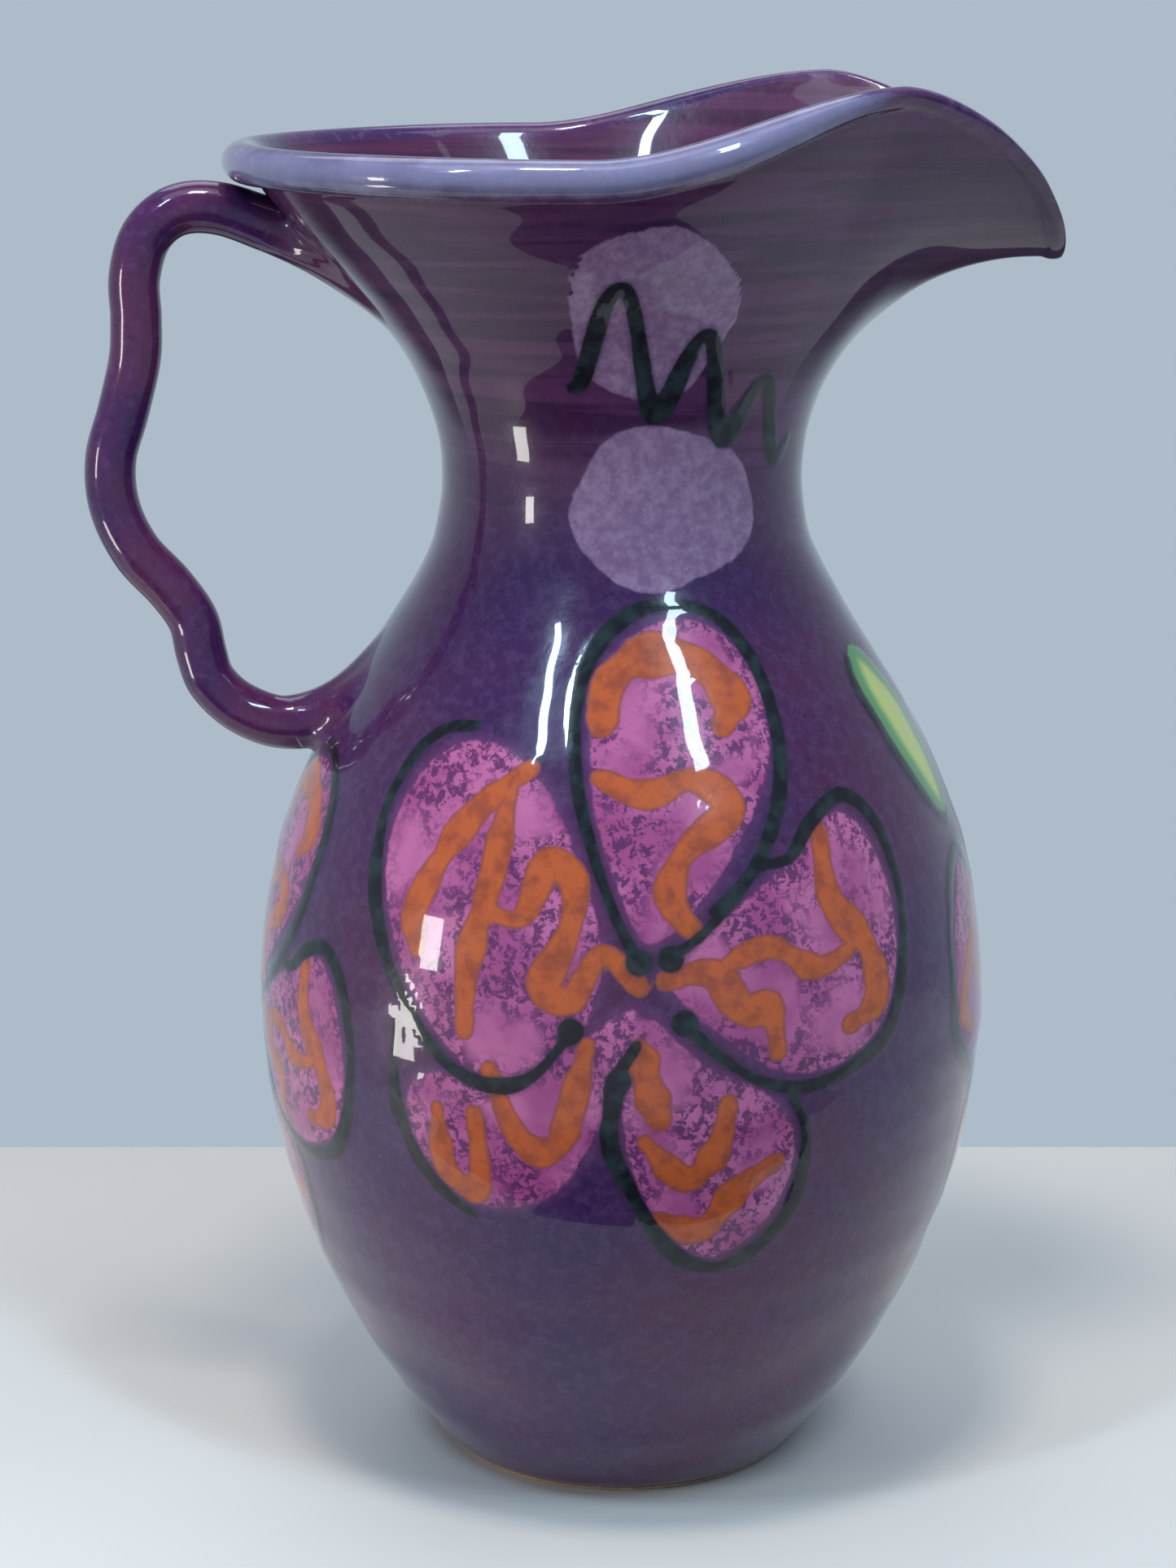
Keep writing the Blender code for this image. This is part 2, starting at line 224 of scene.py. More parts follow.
def flare(angle, t):
    """Radius and height of the flared wall, from the waist (t = 0) to the rim (t = 1)."""
    keel = np.exp(-((wrap(angle) / KEEL_WIDTH) ** 2))
    radius, height = rim_line(angle)
    climb = NECK_CLIMB + KEEL_CLIMB * keel
    reach = (FLARE_REACH + KEEL_REACH * keel) * (radius - WAIST_RADIUS) + KEEL_PUSH * keel
    drop = FLARE_DROP + KEEL_DROP * keel
    across = bezier(WAIST_RADIUS, WAIST_RADIUS, radius - reach, radius, t)
    upward = bezier(WAIST_HEIGHT, WAIST_HEIGHT + climb, height - drop, height, t)
    return across, upward


print("mouth", round(2 * SIDE_RADIUS / MM), "mm wide, spout reaches", round(TIP_X / MM, 1), "mm")

# %% [markdown]
# ## One skin for the whole pot
#
# The skin is a grid. Its columns stand round the pot, a little closer together in the spout,
# and its rows run from the middle of the foot up the outside, over the bead, and down the
# inside to the middle of the floor. A grid was chosen over sculpting because every row and
# column can be found again later, to paint it and to cut it into pieces.

# %% Columns and rows
COLUMNS = 448
ROW_STEP = 1.15 * MM
FLARE_ROWS = 72
INNER_STEP = 4.0 * MM
SPOUT_CROWDING = 0.25
EDGE = 1.0 * MM
BASE_RINGS = (3, 10, 18, 26, 31)
turns = np.arange(COLUMNS) * 2 * np.pi / COLUMNS
ANGLES = turns - SPOUT_CROWDING * np.sin(turns)


def lathe(line):
    """Turn a radius and height line into rows of points."""
    radius = line[:, 0, None]
    x = radius * np.cos(ANGLES)
    y = radius * np.sin(ANGLES)
    return np.stack([x, y, np.broadcast_to(line[:, 1, None], x.shape)], axis=2)


def in_plan(radius, height):
    return np.stack([radius * np.cos(ANGLES), radius * np.sin(ANGLES), height], axis=2)


def surface_normals(grid):
    """Unit normals of a grid of points that closes on itself round the pot."""
    around = np.roll(grid, -1, axis=1) - np.roll(grid, 1, axis=1)
    along = np.gradient(grid, axis=0)
    normal = np.cross(around, along)
    return normal / np.maximum(np.linalg.norm(normal, axis=2, keepdims=True), 1e-12)


base_disc = np.array([(r * MM, 0.0) for r in BASE_RINGS] + [(FOOT_RADIUS - EDGE, 0.0)])
turn_up = np.radians(np.linspace(-70, 0, 5))
corner = np.stack([FOOT_RADIUS - EDGE + EDGE * np.cos(turn_up), EDGE + EDGE * np.sin(turn_up)], 1)
foot_side = np.array([(body_radius(z), z) for z in np.linspace(EDGE, FOOT_HEIGHT, 6)[1:]])
body = OUTLINE[OUTLINE[:, 1] > FOOT_HEIGHT]
body = even_rows(np.concatenate([[(body_radius(FOOT_HEIGHT), FOOT_HEIGHT)], body]), ROW_STEP)
outer_low = lathe(np.concatenate([base_disc, corner, foot_side, body[1:]]))
t_rows = np.linspace(0, 1, FLARE_ROWS)[1:, None]
full_flare = in_plan(*flare(ANGLES[None, :], t_rows))
print("outer rows", outer_low.shape[0] + full_flare.shape[0], "of", COLUMNS, "columns")

# %% [markdown]
# ### The rolled rim
#
# The bead stands out from the wall and leaves a dark undercut below itself. Its section is
# half a circle on the outside and runs into the inner wall on the other side, drawn square to
# the surface at every column. A round tube laid along the rim would look stuck on. A short
# curve fills the undercut, as a wet finger leaves it.

# %% The bead and the inside
NECK_WALL = 4.2 * MM
LIP_WALL = 3.0 * MM
BELLY_WALL = 5.0 * MM
UNDERCUT = 1.3 * MM
SINK = 0.45 * MM
TUCK, INNER_SIDE = -52, 180  # where the bead's section starts and stops, in degrees
FILLET_PULL = 0.45
THINNING_START, THINNING_LENGTH = 150 * MM, 50 * MM  # the wall thins over these heights
FLOOR_FINGER = 12 * MM  # the rounded corner of the floor

rim_ring = full_flare[-1]
rim_normal = surface_normals(np.concatenate([outer_low[-1:], full_flare]))[-1]
along_rim = np.roll(rim_ring, -1, axis=0) - np.roll(rim_ring, 1, axis=0)
along_rim /= np.linalg.norm(along_rim, axis=1, keepdims=True)
upward = np.cross(rim_normal, along_rim)

share = bead_share(ANGLES)[:, None]
size = LIP_RADIUS + (BEAD_RADIUS - LIP_RADIUS) * share
outward_size = SINK + (BEAD_RADIUS - SINK) * share
wall = LIP_WALL + (NECK_WALL - LIP_WALL) * share


def bead_point(turn):
    """A ring on the bead's section: -90 degrees is the undercut, 180 the inner wall."""
    cosine = math.cos(turn)
    sideways = outward_size if cosine > 0 else wall
    return rim_ring + rim_normal * sideways * cosine + upward * size * math.sin(turn)


last_pace = np.linalg.norm(full_flare[-1] - full_flare[-2], axis=1) * (FLARE_ROWS - 1)
t_stop = 1 - (size[:, 0] + UNDERCUT) / last_pace
outer_flare = in_plan(*flare(ANGLES[None, :], t_rows * t_stop[None, :]))
start_turn = math.radians(TUCK)
first = bead_point(start_turn)
slope = bead_point(start_turn + 0.02) - first
slope /= np.linalg.norm(slope, axis=1, keepdims=True)
below = outer_flare[-1]
climb = below - outer_flare[-2]
climb /= np.linalg.norm(climb, axis=1, keepdims=True)
pull = FILLET_PULL * np.linalg.norm(first - below, axis=1, keepdims=True)
fillet = [bezier(below, below + climb * pull, first - slope * pull, first, t)
          for t in np.linspace(0, 1, 7)[1:-1]]
roll = [bead_point(turn) for turn in np.radians(np.linspace(TUCK, INNER_SIDE, 24))]
bead_rows = np.stack(fillet + roll)

outer_plain = np.concatenate([outer_low, full_flare])
plain_normal = surface_normals(outer_plain)
first_body = len(base_disc) + len(corner) + len(foot_side) - 1
down = slice(None, None, -1)
fade = smooth_step(np.linspace(0, 1, len(full_flare)) * 1.6)[:, None, None]
thick = NECK_WALL + (wall[None] - NECK_WALL) * fade
inner_flare = (full_flare - plain_normal[len(outer_low):] * thick)[down][1:]
keep_every = max(1, int(round(INNER_STEP / ROW_STEP)))
body_rows = list(range(first_body, len(outer_low), keep_every))
if body_rows[-1] != len(outer_low) - 1:
    body_rows.append(len(outer_low) - 1)
thinning = smooth_step((outer_low[body_rows, 0, 2] - THINNING_START) / THINNING_LENGTH)
body_thick = BELLY_WALL + (NECK_WALL - BELLY_WALL) * thinning[:, None, None]
inner_body = (outer_low[body_rows] - plain_normal[body_rows] * body_thick)[down]
floor_corner = np.hypot(inner_body[-1, 0, 0], inner_body[-1, 0, 1])
corner_height = inner_body[-1, 0, 2]
t_floor = np.linspace(0, 1, 7)[1:]
floor_line = np.stack([
    bezier(floor_corner, floor_corner - 2.2 * MM, floor_corner - 6 * MM, floor_corner - FLOOR_FINGER,
           t_floor),
    bezier(corner_height, FOOT_HEIGHT + 0.6 * MM, FOOT_HEIGHT, FOOT_HEIGHT, t_floor),
], axis=1)
floor_disc = np.array([(r * MM, FOOT_HEIGHT) for r in (18, 10, 3)])
floor_rows = lathe(np.concatenate([floor_line, floor_disc]))

bands = [outer_low, outer_flare, bead_rows, inner_flare, inner_body, floor_rows]
starts = np.cumsum([0] + [len(band) for band in bands])
SKIN = np.concatenate(bands)
print("skin of", SKIN.shape[0], "rows and", SKIN.shape[0] * COLUMNS, "points")

# %% [markdown]
# ## What the potter's hands leave behind
#
# A thrown wall is never perfectly round. Fingers leave faint rings, and drying pulls the
# circle a little out of true. The amounts are tenths of a millimetre, too small to see as
# shape, but they break each reflection in the gloss, and that is what tells the eye that the
# pot was made by hand.

# %% Hand-made unevenness
RING_LENGTHS = (9.5, 13, 17.5, 23)
RING_SIZE = 0.10
DENTS, DENT_SIZE = 14, 0.045
STILL_HEIGHT = 12  # millimetres above the table where the wall is still true
outer_last = starts[3]
skin_normal = surface_normals(SKIN)
heights = SKIN[:, :, 2] / MM
around = np.broadcast_to(ANGLES, heights.shape)
rng = np.random.default_rng(11)


def soft_waves(along, turn, lengths, strength):
    """A smooth random field: waves along the height, each with its own slow drift round."""
    total = np.zeros_like(along)
    for length in lengths:
        lobes = int(rng.integers(1, 4))
        phase, drift = rng.uniform(0, 2 * np.pi, 2)
        weight = rng.uniform(0.6, 1.0) * strength
        sway = 1.3 * np.sin(lobes * turn + drift)
        total += weight * np.sin(2 * np.pi * along / length + phase + sway)
    return total / math.sqrt(len(lengths))


def clay_movement(along, turn):
    """How far the wall stands off its true line, in metres."""
    rings = soft_waves(along, turn, RING_LENGTHS, RING_SIZE)
    dents = np.zeros_like(along)
    for _ in range(DENTS):
        lobes = int(rng.integers(2, 7))
        length = rng.uniform(28, 70)
        phase, other = rng.uniform(0, 2 * np.pi, 2)
        dents += np.sin(lobes * turn + phase) * np.sin(2 * np.pi * along / length + other)
    return (rings + dents * DENT_SIZE) * MM


calm = smooth_step(heights / STILL_HEIGHT)
SKIN = SKIN + skin_normal * (clay_movement(heights, around) * calm)[:, :, None]
print("wall moves by at most", round(float(np.abs(clay_movement(heights, around)).max() / MM), 2), "mm")

# %% [markdown]
# ## Painting on the curved wall
#
# The painter worked with a loaded brush on the raw glaze. Each mark is kept as a distance, in
# millimetres, from its edge: negative inside, positive outside. A distance is smooth, so even
# a coarse grid carries a crisp edge, and the same number can fade the edge, darken it, or
# raise the paint a little.

# %% Places on the pot
outer_rows = slice(len(base_disc) + len(corner), outer_last)
outer_points = SKIN[outer_rows]
outer_radius = np.hypot(outer_points[:, :, 0], outer_points[:, :, 1]) / MM
outer_height = outer_points[:, :, 2] / MM
outer_mm = outer_points / MM


def radius_near(angle, height):
    """Radius of the outside, in millimetres, at one angle and one height."""
    column = int(np.argmin(np.abs(wrap(ANGLES - angle))))
    return float(np.interp(height, outer_height[:, column], outer_radius[:, column]))


def place(angle, height):
    radius = radius_near(angle, height)
    return radius * math.cos(angle), radius * math.sin(angle), height


def across(centre, sideways, height):
    """A point so many millimetres to the right of a centre line, measured along the wall."""
    return place(centre + sideways / radius_near(centre, height), height)


def flowing(points, closed=False, per_span=5):
    """A flowing line through given points."""
    points = np.array(points, float)
    if closed:
        a, b, c, d = (np.roll(points, shift, 0) for shift in (1, 0, -1, -2))
    else:
        padded = np.concatenate([points[:1], points, points[-1:]])
        a, b, c, d = padded[:-3], padded[1:-2], padded[2:-1], padded[3:]
    spans = [bezier(b, b + (c - a) / 6, c - (d - b) / 6, c, t) for t in np.arange(per_span) / per_span]
    line = np.stack(spans, axis=1).reshape(-1, points.shape[1])
    return line if closed else np.concatenate([line, points[-1:]])


FAR = 40.0  # millimetres: a mark this far off leaves no trace
MARGIN = 12  # how far round a line the distances are worked out
THIN_ENDS = 0.55  # a stroke's width at its ends, as a share of its full width


def distance_to_line(line, widths):
    """Distance of every outer grid point from a line on the pot, less half its width."""
    line = np.array(line)
    low, high = line.min(0) - MARGIN, line.max(0) + MARGIN
    near = ((outer_mm > low) & (outer_mm < high)).all(axis=2)
    points = outer_mm[near]
    best = np.full(len(points), FAR)
    for start, end, w0, w1 in zip(line, line[1:], widths, widths[1:]):
        run = end - start
        share = np.clip(((points - start) @ run) / max(run @ run, 1e-9), 0, 1)
        gap = np.linalg.norm(points - start - share[:, None] * run, axis=1)
        best = np.minimum(best, gap - (w0 + (w1 - w0) * share))
    field = np.full(outer_height.shape, FAR)
    field[near] = best
    return field


def distance_to_patch(loop, centre):
    """Distance from the edge of a closed patch, negative inside it."""
    edge = distance_to_line([across(centre, u, v) for u, v in np.concatenate([loop, loop[:1]])],
                            np.zeros(len(loop) + 1))
    sideways = wrap(around[outer_rows] - centre) * outer_radius
    inside = np.zeros(outer_height.shape, bool)
    for (u0, v0), (u1, v1) in zip(loop, np.roll(loop, -1, 0)):
        crosses = (v0 > outer_height) != (v1 > outer_height)
        where = u0 + (outer_height - v0) * (u1 - u0) / np.where(v1 == v0, 1e-9, v1 - v0)
        inside ^= crosses & (sideways < where)
    return np.where(inside, -edge, edge)


def brush(points, centre, width):
    """One stroke of a loaded brush, a little thinner where it starts and stops."""
    line = flowing(points)
    share = np.linspace(0, 1, len(line))
    swell = THIN_ENDS + (1 - THIN_ENDS) * np.sin(np.pi * share) ** 0.5
    wobble = 1 + 0.16 * np.sin(share * 17 + len(line)) + 0.10 * np.sin(share * 31 + 2)
    return distance_to_line([across(centre, u, v) for u, v in line], width / 2 * swell * wobble)


def dab(point, centre, radius):
    spot = across(centre, *point)
    return distance_to_line([spot, spot], (radius, radius))


print("outer grid", outer_height.shape)

# %% [markdown]
# ### The flower
#
# Five loose petals round an empty middle, each filled with pink, scribbled over with orange,
# and ringed with one dark stroke that ends in a blob of ink. The points are millimetres to the
# right of the flower's middle and above it. The other flowers reuse them turned, mirrored
# and resized, as a painter repeats a motif without copying it.

# %% The flower's marks
PETALS = (
    ((0, 7), (-5, 18), (-9, 31), (-9, 45), (-4, 57), (6, 63), (17, 60), (25, 49), (25, 36), (17, 22),
     (8, 11)),
    ((-8, 5), (-12, 21), (-19, 35), (-30, 41), (-43, 36), (-53, 21), (-50, 2), (-41, -12), (-32, -19),
     (-22, -17), (-12, -9)),
    ((4, 2), (14, 10), (26, 18), (38, 27), (48, 22), (55, 6), (52, -11), (40, -19), (27, -19), (15, -11),
     (7, -4)),
    ((-2, -5), (-14, -13), (-28, -20), (-42, -20), (-48, -27), (-42, -40), (-30, -46), (-17, -42),
     (-9, -29), (-3, -16)),
    ((0, -7), (-4, -22), (-2, -38), (5, -51), (14, -56), (25, -48), (30, -34), (24, -23), (12, -17)),
)
OUTLINES = (
    ((-1, 3.5), (-5, 11), (-9, 22), (-12, 35), (-12, 48), (-8, 58), (0, 64.5), (9, 65.5), (18, 61.5),
     (25, 52), (28, 39), (26, 27), (19, 16), (12, 9), (5, 4)),
    ((-32, 43.5), (-40, 42), (-48, 36), (-55, 25), (-56, 12), (-52, -1), (-44, -13), (-36, -19.5),
     (-27, -21), (-20, -17.5), (-14, -9.5)),
    ((13, 12), (22, 19), (29, 20.5), (34, 26), (42, 30), (51, 24), (57, 11), (57, -2), (53, -14),
     (44, -20), (33, -22.5), (23, -20.5), (14, -14.5), (7.5, -8)),
    ((-50, -12), (-51, -24), (-48, -34), (-41, -43), (-33, -48.5)),
    ((-4, -40), (-7, -30), (-5.5, -19), (-1.5, -12)),
    ((29, -24), (32.5, -33), (29.5, -47), (21, -56), (13, -58.5), (5, -54), (-2, -42), (-6, -30),
     (-4.5, -19)),
)
BLOBS = ((-1, 3.5), (5, 4), (-14, -9.5), (7.5, -8), (-5, -19))
SCRIBBLES = (
    (((-7, 45), (-5, 53), (3, 57), (12, 55), (18, 49), (16, 44)), 6.0),
    (((-8, 36), (1, 33), (10, 35.5), (17, 30), (8, 23), (5, 15), (10, 8)), 4.6),
    (((-21, 37), (-31, 30), (-40, 20), (-46, 9), (-45, 3)), 4.4),
    (((-25, 33), (-29, 18), (-34, 2), (-35, -11)), 4.2),
    (((-31, 12), (-23, 11), (-18, 21), (-13, 18), (-14, 9), (-19, -1), (-14, -4), (-8, 5), (-1, -1)), 4.4),
    (((36, 24), (38, 12), (47, 2), (49, -8), (42, -12)), 4.8),
    (((4, 0), (13, 1), (19, -7), (24, -6), (26, -15)), 4.6),
    (((13, 1), (24, 5), (34, 0), (42, 2)), 3.6),
    (((-41, -27), (-39, -39), (-32, -42), (-33, -27)), 4.0),
    (((-30, -18), (-24, -31), (-17, -33), (-13, -21), (-11, -12)), 4.2),
    (((-1, -12), (1, -21), (3, -27)), 4.6),
    (((0, -31), (8, -39), (14, -33), (16, -24)), 4.2),
    (((3, -47), (11, -50), (18, -42), (26, -37)), 4.4),
)

BRUSH_SPREAD = 1.35  # the orange was thin and spread past the width of the brush
INK_WIDTH, BLOB_RADIUS = 3.0, 2.6

paint = {name: np.full(outer_height.shape, FAR) for name in ("petal", "orange", "ink", "disc", "leaf")}


def add_mark(name, field):
    paint[name] = np.minimum(paint[name], field)


def flower(angle, height, turn, scale, mirror):
    """Paint one flower with its middle at this angle and height."""
    cosine, sine = math.cos(turn) * scale, math.sin(turn) * scale

    def moved(points):
        return [(mirror * (u * cosine - v * sine), height + u * sine + v * cosine) for u, v in points]

    for petal in PETALS:
        add_mark("petal", distance_to_patch(flowing(moved(petal), closed=True), angle))
    for line, width in SCRIBBLES:
        add_mark("orange", brush(moved(line), angle, width * scale * BRUSH_SPREAD))
    for line in OUTLINES:
        add_mark("ink", brush(moved(line), angle, INK_WIDTH))
    for spot in BLOBS:
        add_mark("ink", dab(moved([spot])[0], angle, BLOB_RADIUS))


FLOWERS = (  # angle round the pot, height, turn, scale, mirror
    (-93, 119, 0, 1.0, 1),
    (-180, 97, -8, 0.86, 1),
    (4, 100, 10, 0.86, -1),
    (88, 116, 16, 0.95, -1),
)
for angle, height, turn, scale, mirror in FLOWERS:
    flower(math.radians(angle), height, math.radians(turn), scale, mirror)
print("points under pink:", int((paint["petal"] < 0).sum()))

# %% [markdown]
# ### Leaves, discs and the wave
#
# A few leaves fill the gaps between the flowers. Two mauve discs sit on each side of the neck,
# where a thin coat of light glaze was brushed on, and a dark brush line runs across them. Here
# it is a plain wave that dies away.

# %% Leaves, discs and wave
LEAF_INK = 2.6
WAVE_ARCHES, WAVE_RISE = 3.3, 0.62  # how many arches, and the share of each that climbs
WAVE_WIDTH, WAVE_FADE = 1.9, 0.62


def leaf(angle, height, length, width, lean):
    turn = np.linspace(0, 2 * np.pi, 22, endpoint=False)
    u = width * np.sin(turn) * (1 + 0.12 * np.cos(turn))
    v = length * np.cos(turn)
    cosine, sine = math.cos(lean), math.sin(lean)
    loop = np.stack([u * cosine + v * sine, height - u * sine + v * cosine], axis=1)
    add_mark("leaf", distance_to_patch(loop, angle))
    grown = loop + np.stack([u * cosine, -u * sine], axis=1) * 0.22
    add_mark("ink", brush(grown[10:], angle, LEAF_INK))


for angle, height, length, width, lean in (
    (-24, 155, 18, 8.5, -14),
    (134, 172, 14, 6.5, 10),
    (42, 168, 14, 6.5, -16),
):
    leaf(math.radians(angle), height, length, width, math.radians(lean))


def disc(angle, height, width, tall, seed):
    turn = np.linspace(0, 2 * np.pi, 40, endpoint=False)
    uneven = 1 + 0.05 * np.sin(3 * turn + seed) + 0.035 * np.sin(5 * turn + 2 * seed)
    loop = np.stack([width * uneven * np.cos(turn), height + tall * uneven * np.sin(turn)], axis=1)
    add_mark("disc", distance_to_patch(loop, angle))


for angle, height, width, tall, seed in (
    (-89, 241, 16.5, 17, 0.6),
    (-83, 202.5, 19, 15.5, 2.1),
    (84, 238, 16, 16, 1.2),
    (98, 203, 17, 14, 3.0),
):
    disc(math.radians(angle), height, width, tall, seed)


def wave(first, last, high, low, swing):
    """A brush wave: each arch climbs slowly and drops fast, and each is lower than the last."""
    share = np.linspace(0, 1, 90)
    within = (WAVE_ARCHES * share) % 1
    climbing = -np.cos(np.pi * within / WAVE_RISE)
    dropping = np.cos(np.pi * (within - WAVE_RISE) / (1 - WAVE_RISE))
    arch = np.where(within < WAVE_RISE, climbing, dropping)
    angle = first + (last - first) * share
    height = high + (low - high) * share + swing * (1 - WAVE_FADE * share) * arch
    line = [place(a, h) for a, h in zip(angle, height)]
    width = WAVE_WIDTH * (0.65 + 0.35 * np.sin(np.pi * share) ** 0.5) * (1 + 0.2 * np.sin(share * 23))
    add_mark("ink", distance_to_line(line, width))


wave(math.radians(-110), math.radians(-36), 239, 214, 13)
wave(math.radians(66), math.radians(138), 237, 214, 12)

RELIEF = 0.16 * MM
RELIEF_SLOPE = 1.6  # millimetres from the foot of a raised edge to its top
LAYERS = {"petal": 0.7, "orange": 0.9, "ink": 0.8, "disc": 0.4, "leaf": 0.6}
lift = np.zeros(outer_height.shape)
for name, share in LAYERS.items():
    lift = np.maximum(lift, share * smooth_step(0.5 - paint[name] / RELIEF_SLOPE))
SKIN[outer_rows] += skin_normal[outer_rows] * (lift * RELIEF)[:, :, None]
skin_normal = surface_normals(SKIN)
print("paint stands", RELIEF / MM, "mm proud at most")

# %% [markdown]
# ## Cutting the skin into the pieces
#
# The pot is cut at the same places as the solids. Every piece is closed: its outer rows, its
# inner rows, and the faces hidden in the clay where two pieces meet. The outer faces keep the
# normals of the whole skin, so no seam shows between neighbours.

# %% Rows and fields on the grid
INSIDE_FADE = 9  # rows of the bead over which the outer glaze turns into the inner one
fields = {name: np.full(SKIN.shape[:2], FAR) for name in paint}
for name in paint:
    fields[name][outer_rows] = paint[name]
fields["inside"] = np.zeros(SKIN.shape[:2])
fields["inside"][starts[3] - INSIDE_FADE : starts[3]] = np.linspace(0.1, 1, INSIDE_FADE)[:, None]
fields["inside"][starts[3]:] = 1.0
fields["crown"] = np.zeros(SKIN.shape[:2])
crown_rows = starts[3] - starts[2]
across_bead = np.sin(np.pi * np.linspace(0, 1, crown_rows)) ** 0.4
fade_round = 0.15 + 0.85 * smooth_step((np.abs(wrap(ANGLES)) - math.radians(8)) / math.radians(50))
fields["crown"][starts[2] : starts[3]] = across_bead[:, None] * fade_round[None, :]

row_foot = starts[0] + len(base_disc) + len(corner) + len(foot_side) - 1
row_waist = starts[1] - 1
row_bead = starts[2]
row_inner = starts[3]
row_inner_waist = starts[4]
row_floor = starts[5] - 1
SEAM = (belly_high.z + shoulder_low.z) / 2
row_seam = int(np.argmin(np.abs(SKIN[:row_waist, 0, 2] - SEAM)))
row_inner_seam = row_inner_waist + int(np.argmin(np.abs(SKIN[row_inner_waist:row_floor, 0, 2] - SEAM)))


def rows_between(first, last):
    return list(range(first, last + 1))


def quads(index, i, j):
    """The faces between two rings of a grid of point numbers."""
    after = np.roll(index, -1, axis=1)
    return np.stack([index[i], after[i], after[j], index[j]], axis=1)


def new_piece(name, points, faces, shown, normals, values):
    """A mesh object. shown says which faces are skin and so take the skin's normals."""
    mesh = bpy.data.meshes.new(name)
    mesh.from_pydata(points.tolist(), [], faces)
    for label, numbers in values.items():
        made = mesh.attributes.new(label, "FLOAT", "POINT")
        made.data.foreach_set("value", np.asarray(numbers, np.float32))
    mesh.shade_smooth()
    loops = []
    for face, is_shown in zip(faces, shown):
        loops += [tuple(normals[v]) if is_shown else (0.0, 0.0, 0.0) for v in face]
    mesh.normals_split_custom_set(loops)
    return put_in_scene(name, mesh)


def ring_piece(name, rows, caps=False):
    """Rows of the skin joined in a loop. With caps the first and last rows end in points."""
    count = len(rows)
    index = np.arange(count * COLUMNS).reshape(count, COLUMNS)
    after = np.roll(index, -1, axis=1)
    points = SKIN[rows].reshape(-1, 3)
    normals = skin_normal[rows].reshape(-1, 3)
    faces, shown = [], []
    for i in range(count if not caps else count - 1):
        j = (i + 1) % count
        faces += quads(index, i, j).tolist()
        shown += [rows[j] == rows[i] + 1] * COLUMNS
    values = {label: fields[label][rows].reshape(-1) for label in fields}
    if caps:
        ends = [points[:COLUMNS].mean(0), points[-COLUMNS:].mean(0)]
        points = np.concatenate([points, ends])
        normals = np.concatenate([normals, [[0, 0, -1], [0, 0, 1]]])
        low, high = count * COLUMNS, count * COLUMNS + 1
        for k in range(COLUMNS):
            faces.append([low, int(after[0, k]), int(index[0, k])])
            faces.append([high, int(index[-1, k]), int(after[-1, k])])
            shown += [True, True]
        values = {label: np.append(numbers, [FAR, FAR]) for label, numbers in values.items()}
        values["inside"][-2:] = (0.0, 1.0)
        values["crown"][-2:] = 0.0
    return new_piece(name, points, faces, shown, normals, values)


foot = ring_piece("foot_skin",
                  rows_between(0, row_foot) + rows_between(row_floor, len(SKIN) - 1), caps=True)
belly = ring_piece("belly_skin",
                   rows_between(row_foot, row_seam) + rows_between(row_inner_seam, row_floor))
shoulder = ring_piece("shoulder_skin",
                      rows_between(row_seam, row_waist) + rows_between(row_inner_waist, row_inner_seam))
for thing in (foot, belly, shoulder):
    print(thing.name, len(thing.data.polygons), "faces")

# %% [markdown]
# ### Neck, spout and bead
#
# The bead runs round the mouth from one side of the spout to the other, so it is a strip of
# columns, not a full ring. The neck and the spout share one wall that a flat cut parts.

# %% Cut the mouth
wide = np.abs(wrap(ANGLES)) >= BEAD_END
mouth_rows = rows_between(row_waist, row_inner_waist)
bead_local = [mouth_rows.index(r) for r in rows_between(row_bead - 1, row_inner)]


def strip_faces(rows, columns):
    """The faces between following rows of the mouth, for the given columns."""
    return [face for i, j in zip(rows, rows[1:]) for face in quads(index, i, j)[columns].tolist()]


count = len(mouth_rows)
index = np.arange(count * COLUMNS).reshape(count, COLUMNS)
both_wide = wide & np.roll(wide, -1)
under, over = bead_local[0], bead_local[-1]
first_column = int(np.flatnonzero(both_wide)[0])
last_column = int((np.flatnonzero(both_wide)[-1] + 1) % COLUMNS)
ends = (first_column, last_column)
middles = [SKIN[row_bead - 1 : row_inner + 1, column].mean(0) for column in ends]
points = np.concatenate([SKIN[mouth_rows].reshape(-1, 3), middles])
normals = np.concatenate([skin_normal[mouth_rows].reshape(-1, 3), rim_normal[list(ends)]])
values = {label: np.append(fields[label][mouth_rows].reshape(-1), [FAR, FAR]) for label in fields}


def end_cap(which, flip):
    """A fan from the middle of the bead to its section at one end."""
    section = [int(index[r, ends[which]]) for r in bead_local]
    section = section[::-1] if flip else section
    middle = count * COLUMNS + which
    return [[middle, a, b] for a, b in zip(section, section[1:] + section[:1])]


def compact(name, skin_faces, hidden_faces):
    """A piece that holds only the points its faces use, and the normals of those points."""
    faces = skin_faces + hidden_faces
    used = np.unique(np.concatenate(faces))
    renumber = np.full(len(points), -1)
    renumber[used] = np.arange(len(used))
    small = [[int(renumber[v]) for v in face] for face in faces]
    shown = [True] * len(skin_faces) + [False] * len(hidden_faces)
    used_values = {label: numbers[used] for label, numbers in values.items()}
    return new_piece(name, points[used], small, shown, normals[used], used_values), normals[used]


full_ring = np.ones(COLUMNS, bool)
bead_faces = strip_faces(bead_local, both_wide)
bead_hidden = strip_faces([over, under], both_wide) + end_cap(0, False) + end_cap(1, True)
rim_bead, _ = compact("rim_bead_skin", bead_faces, bead_hidden)

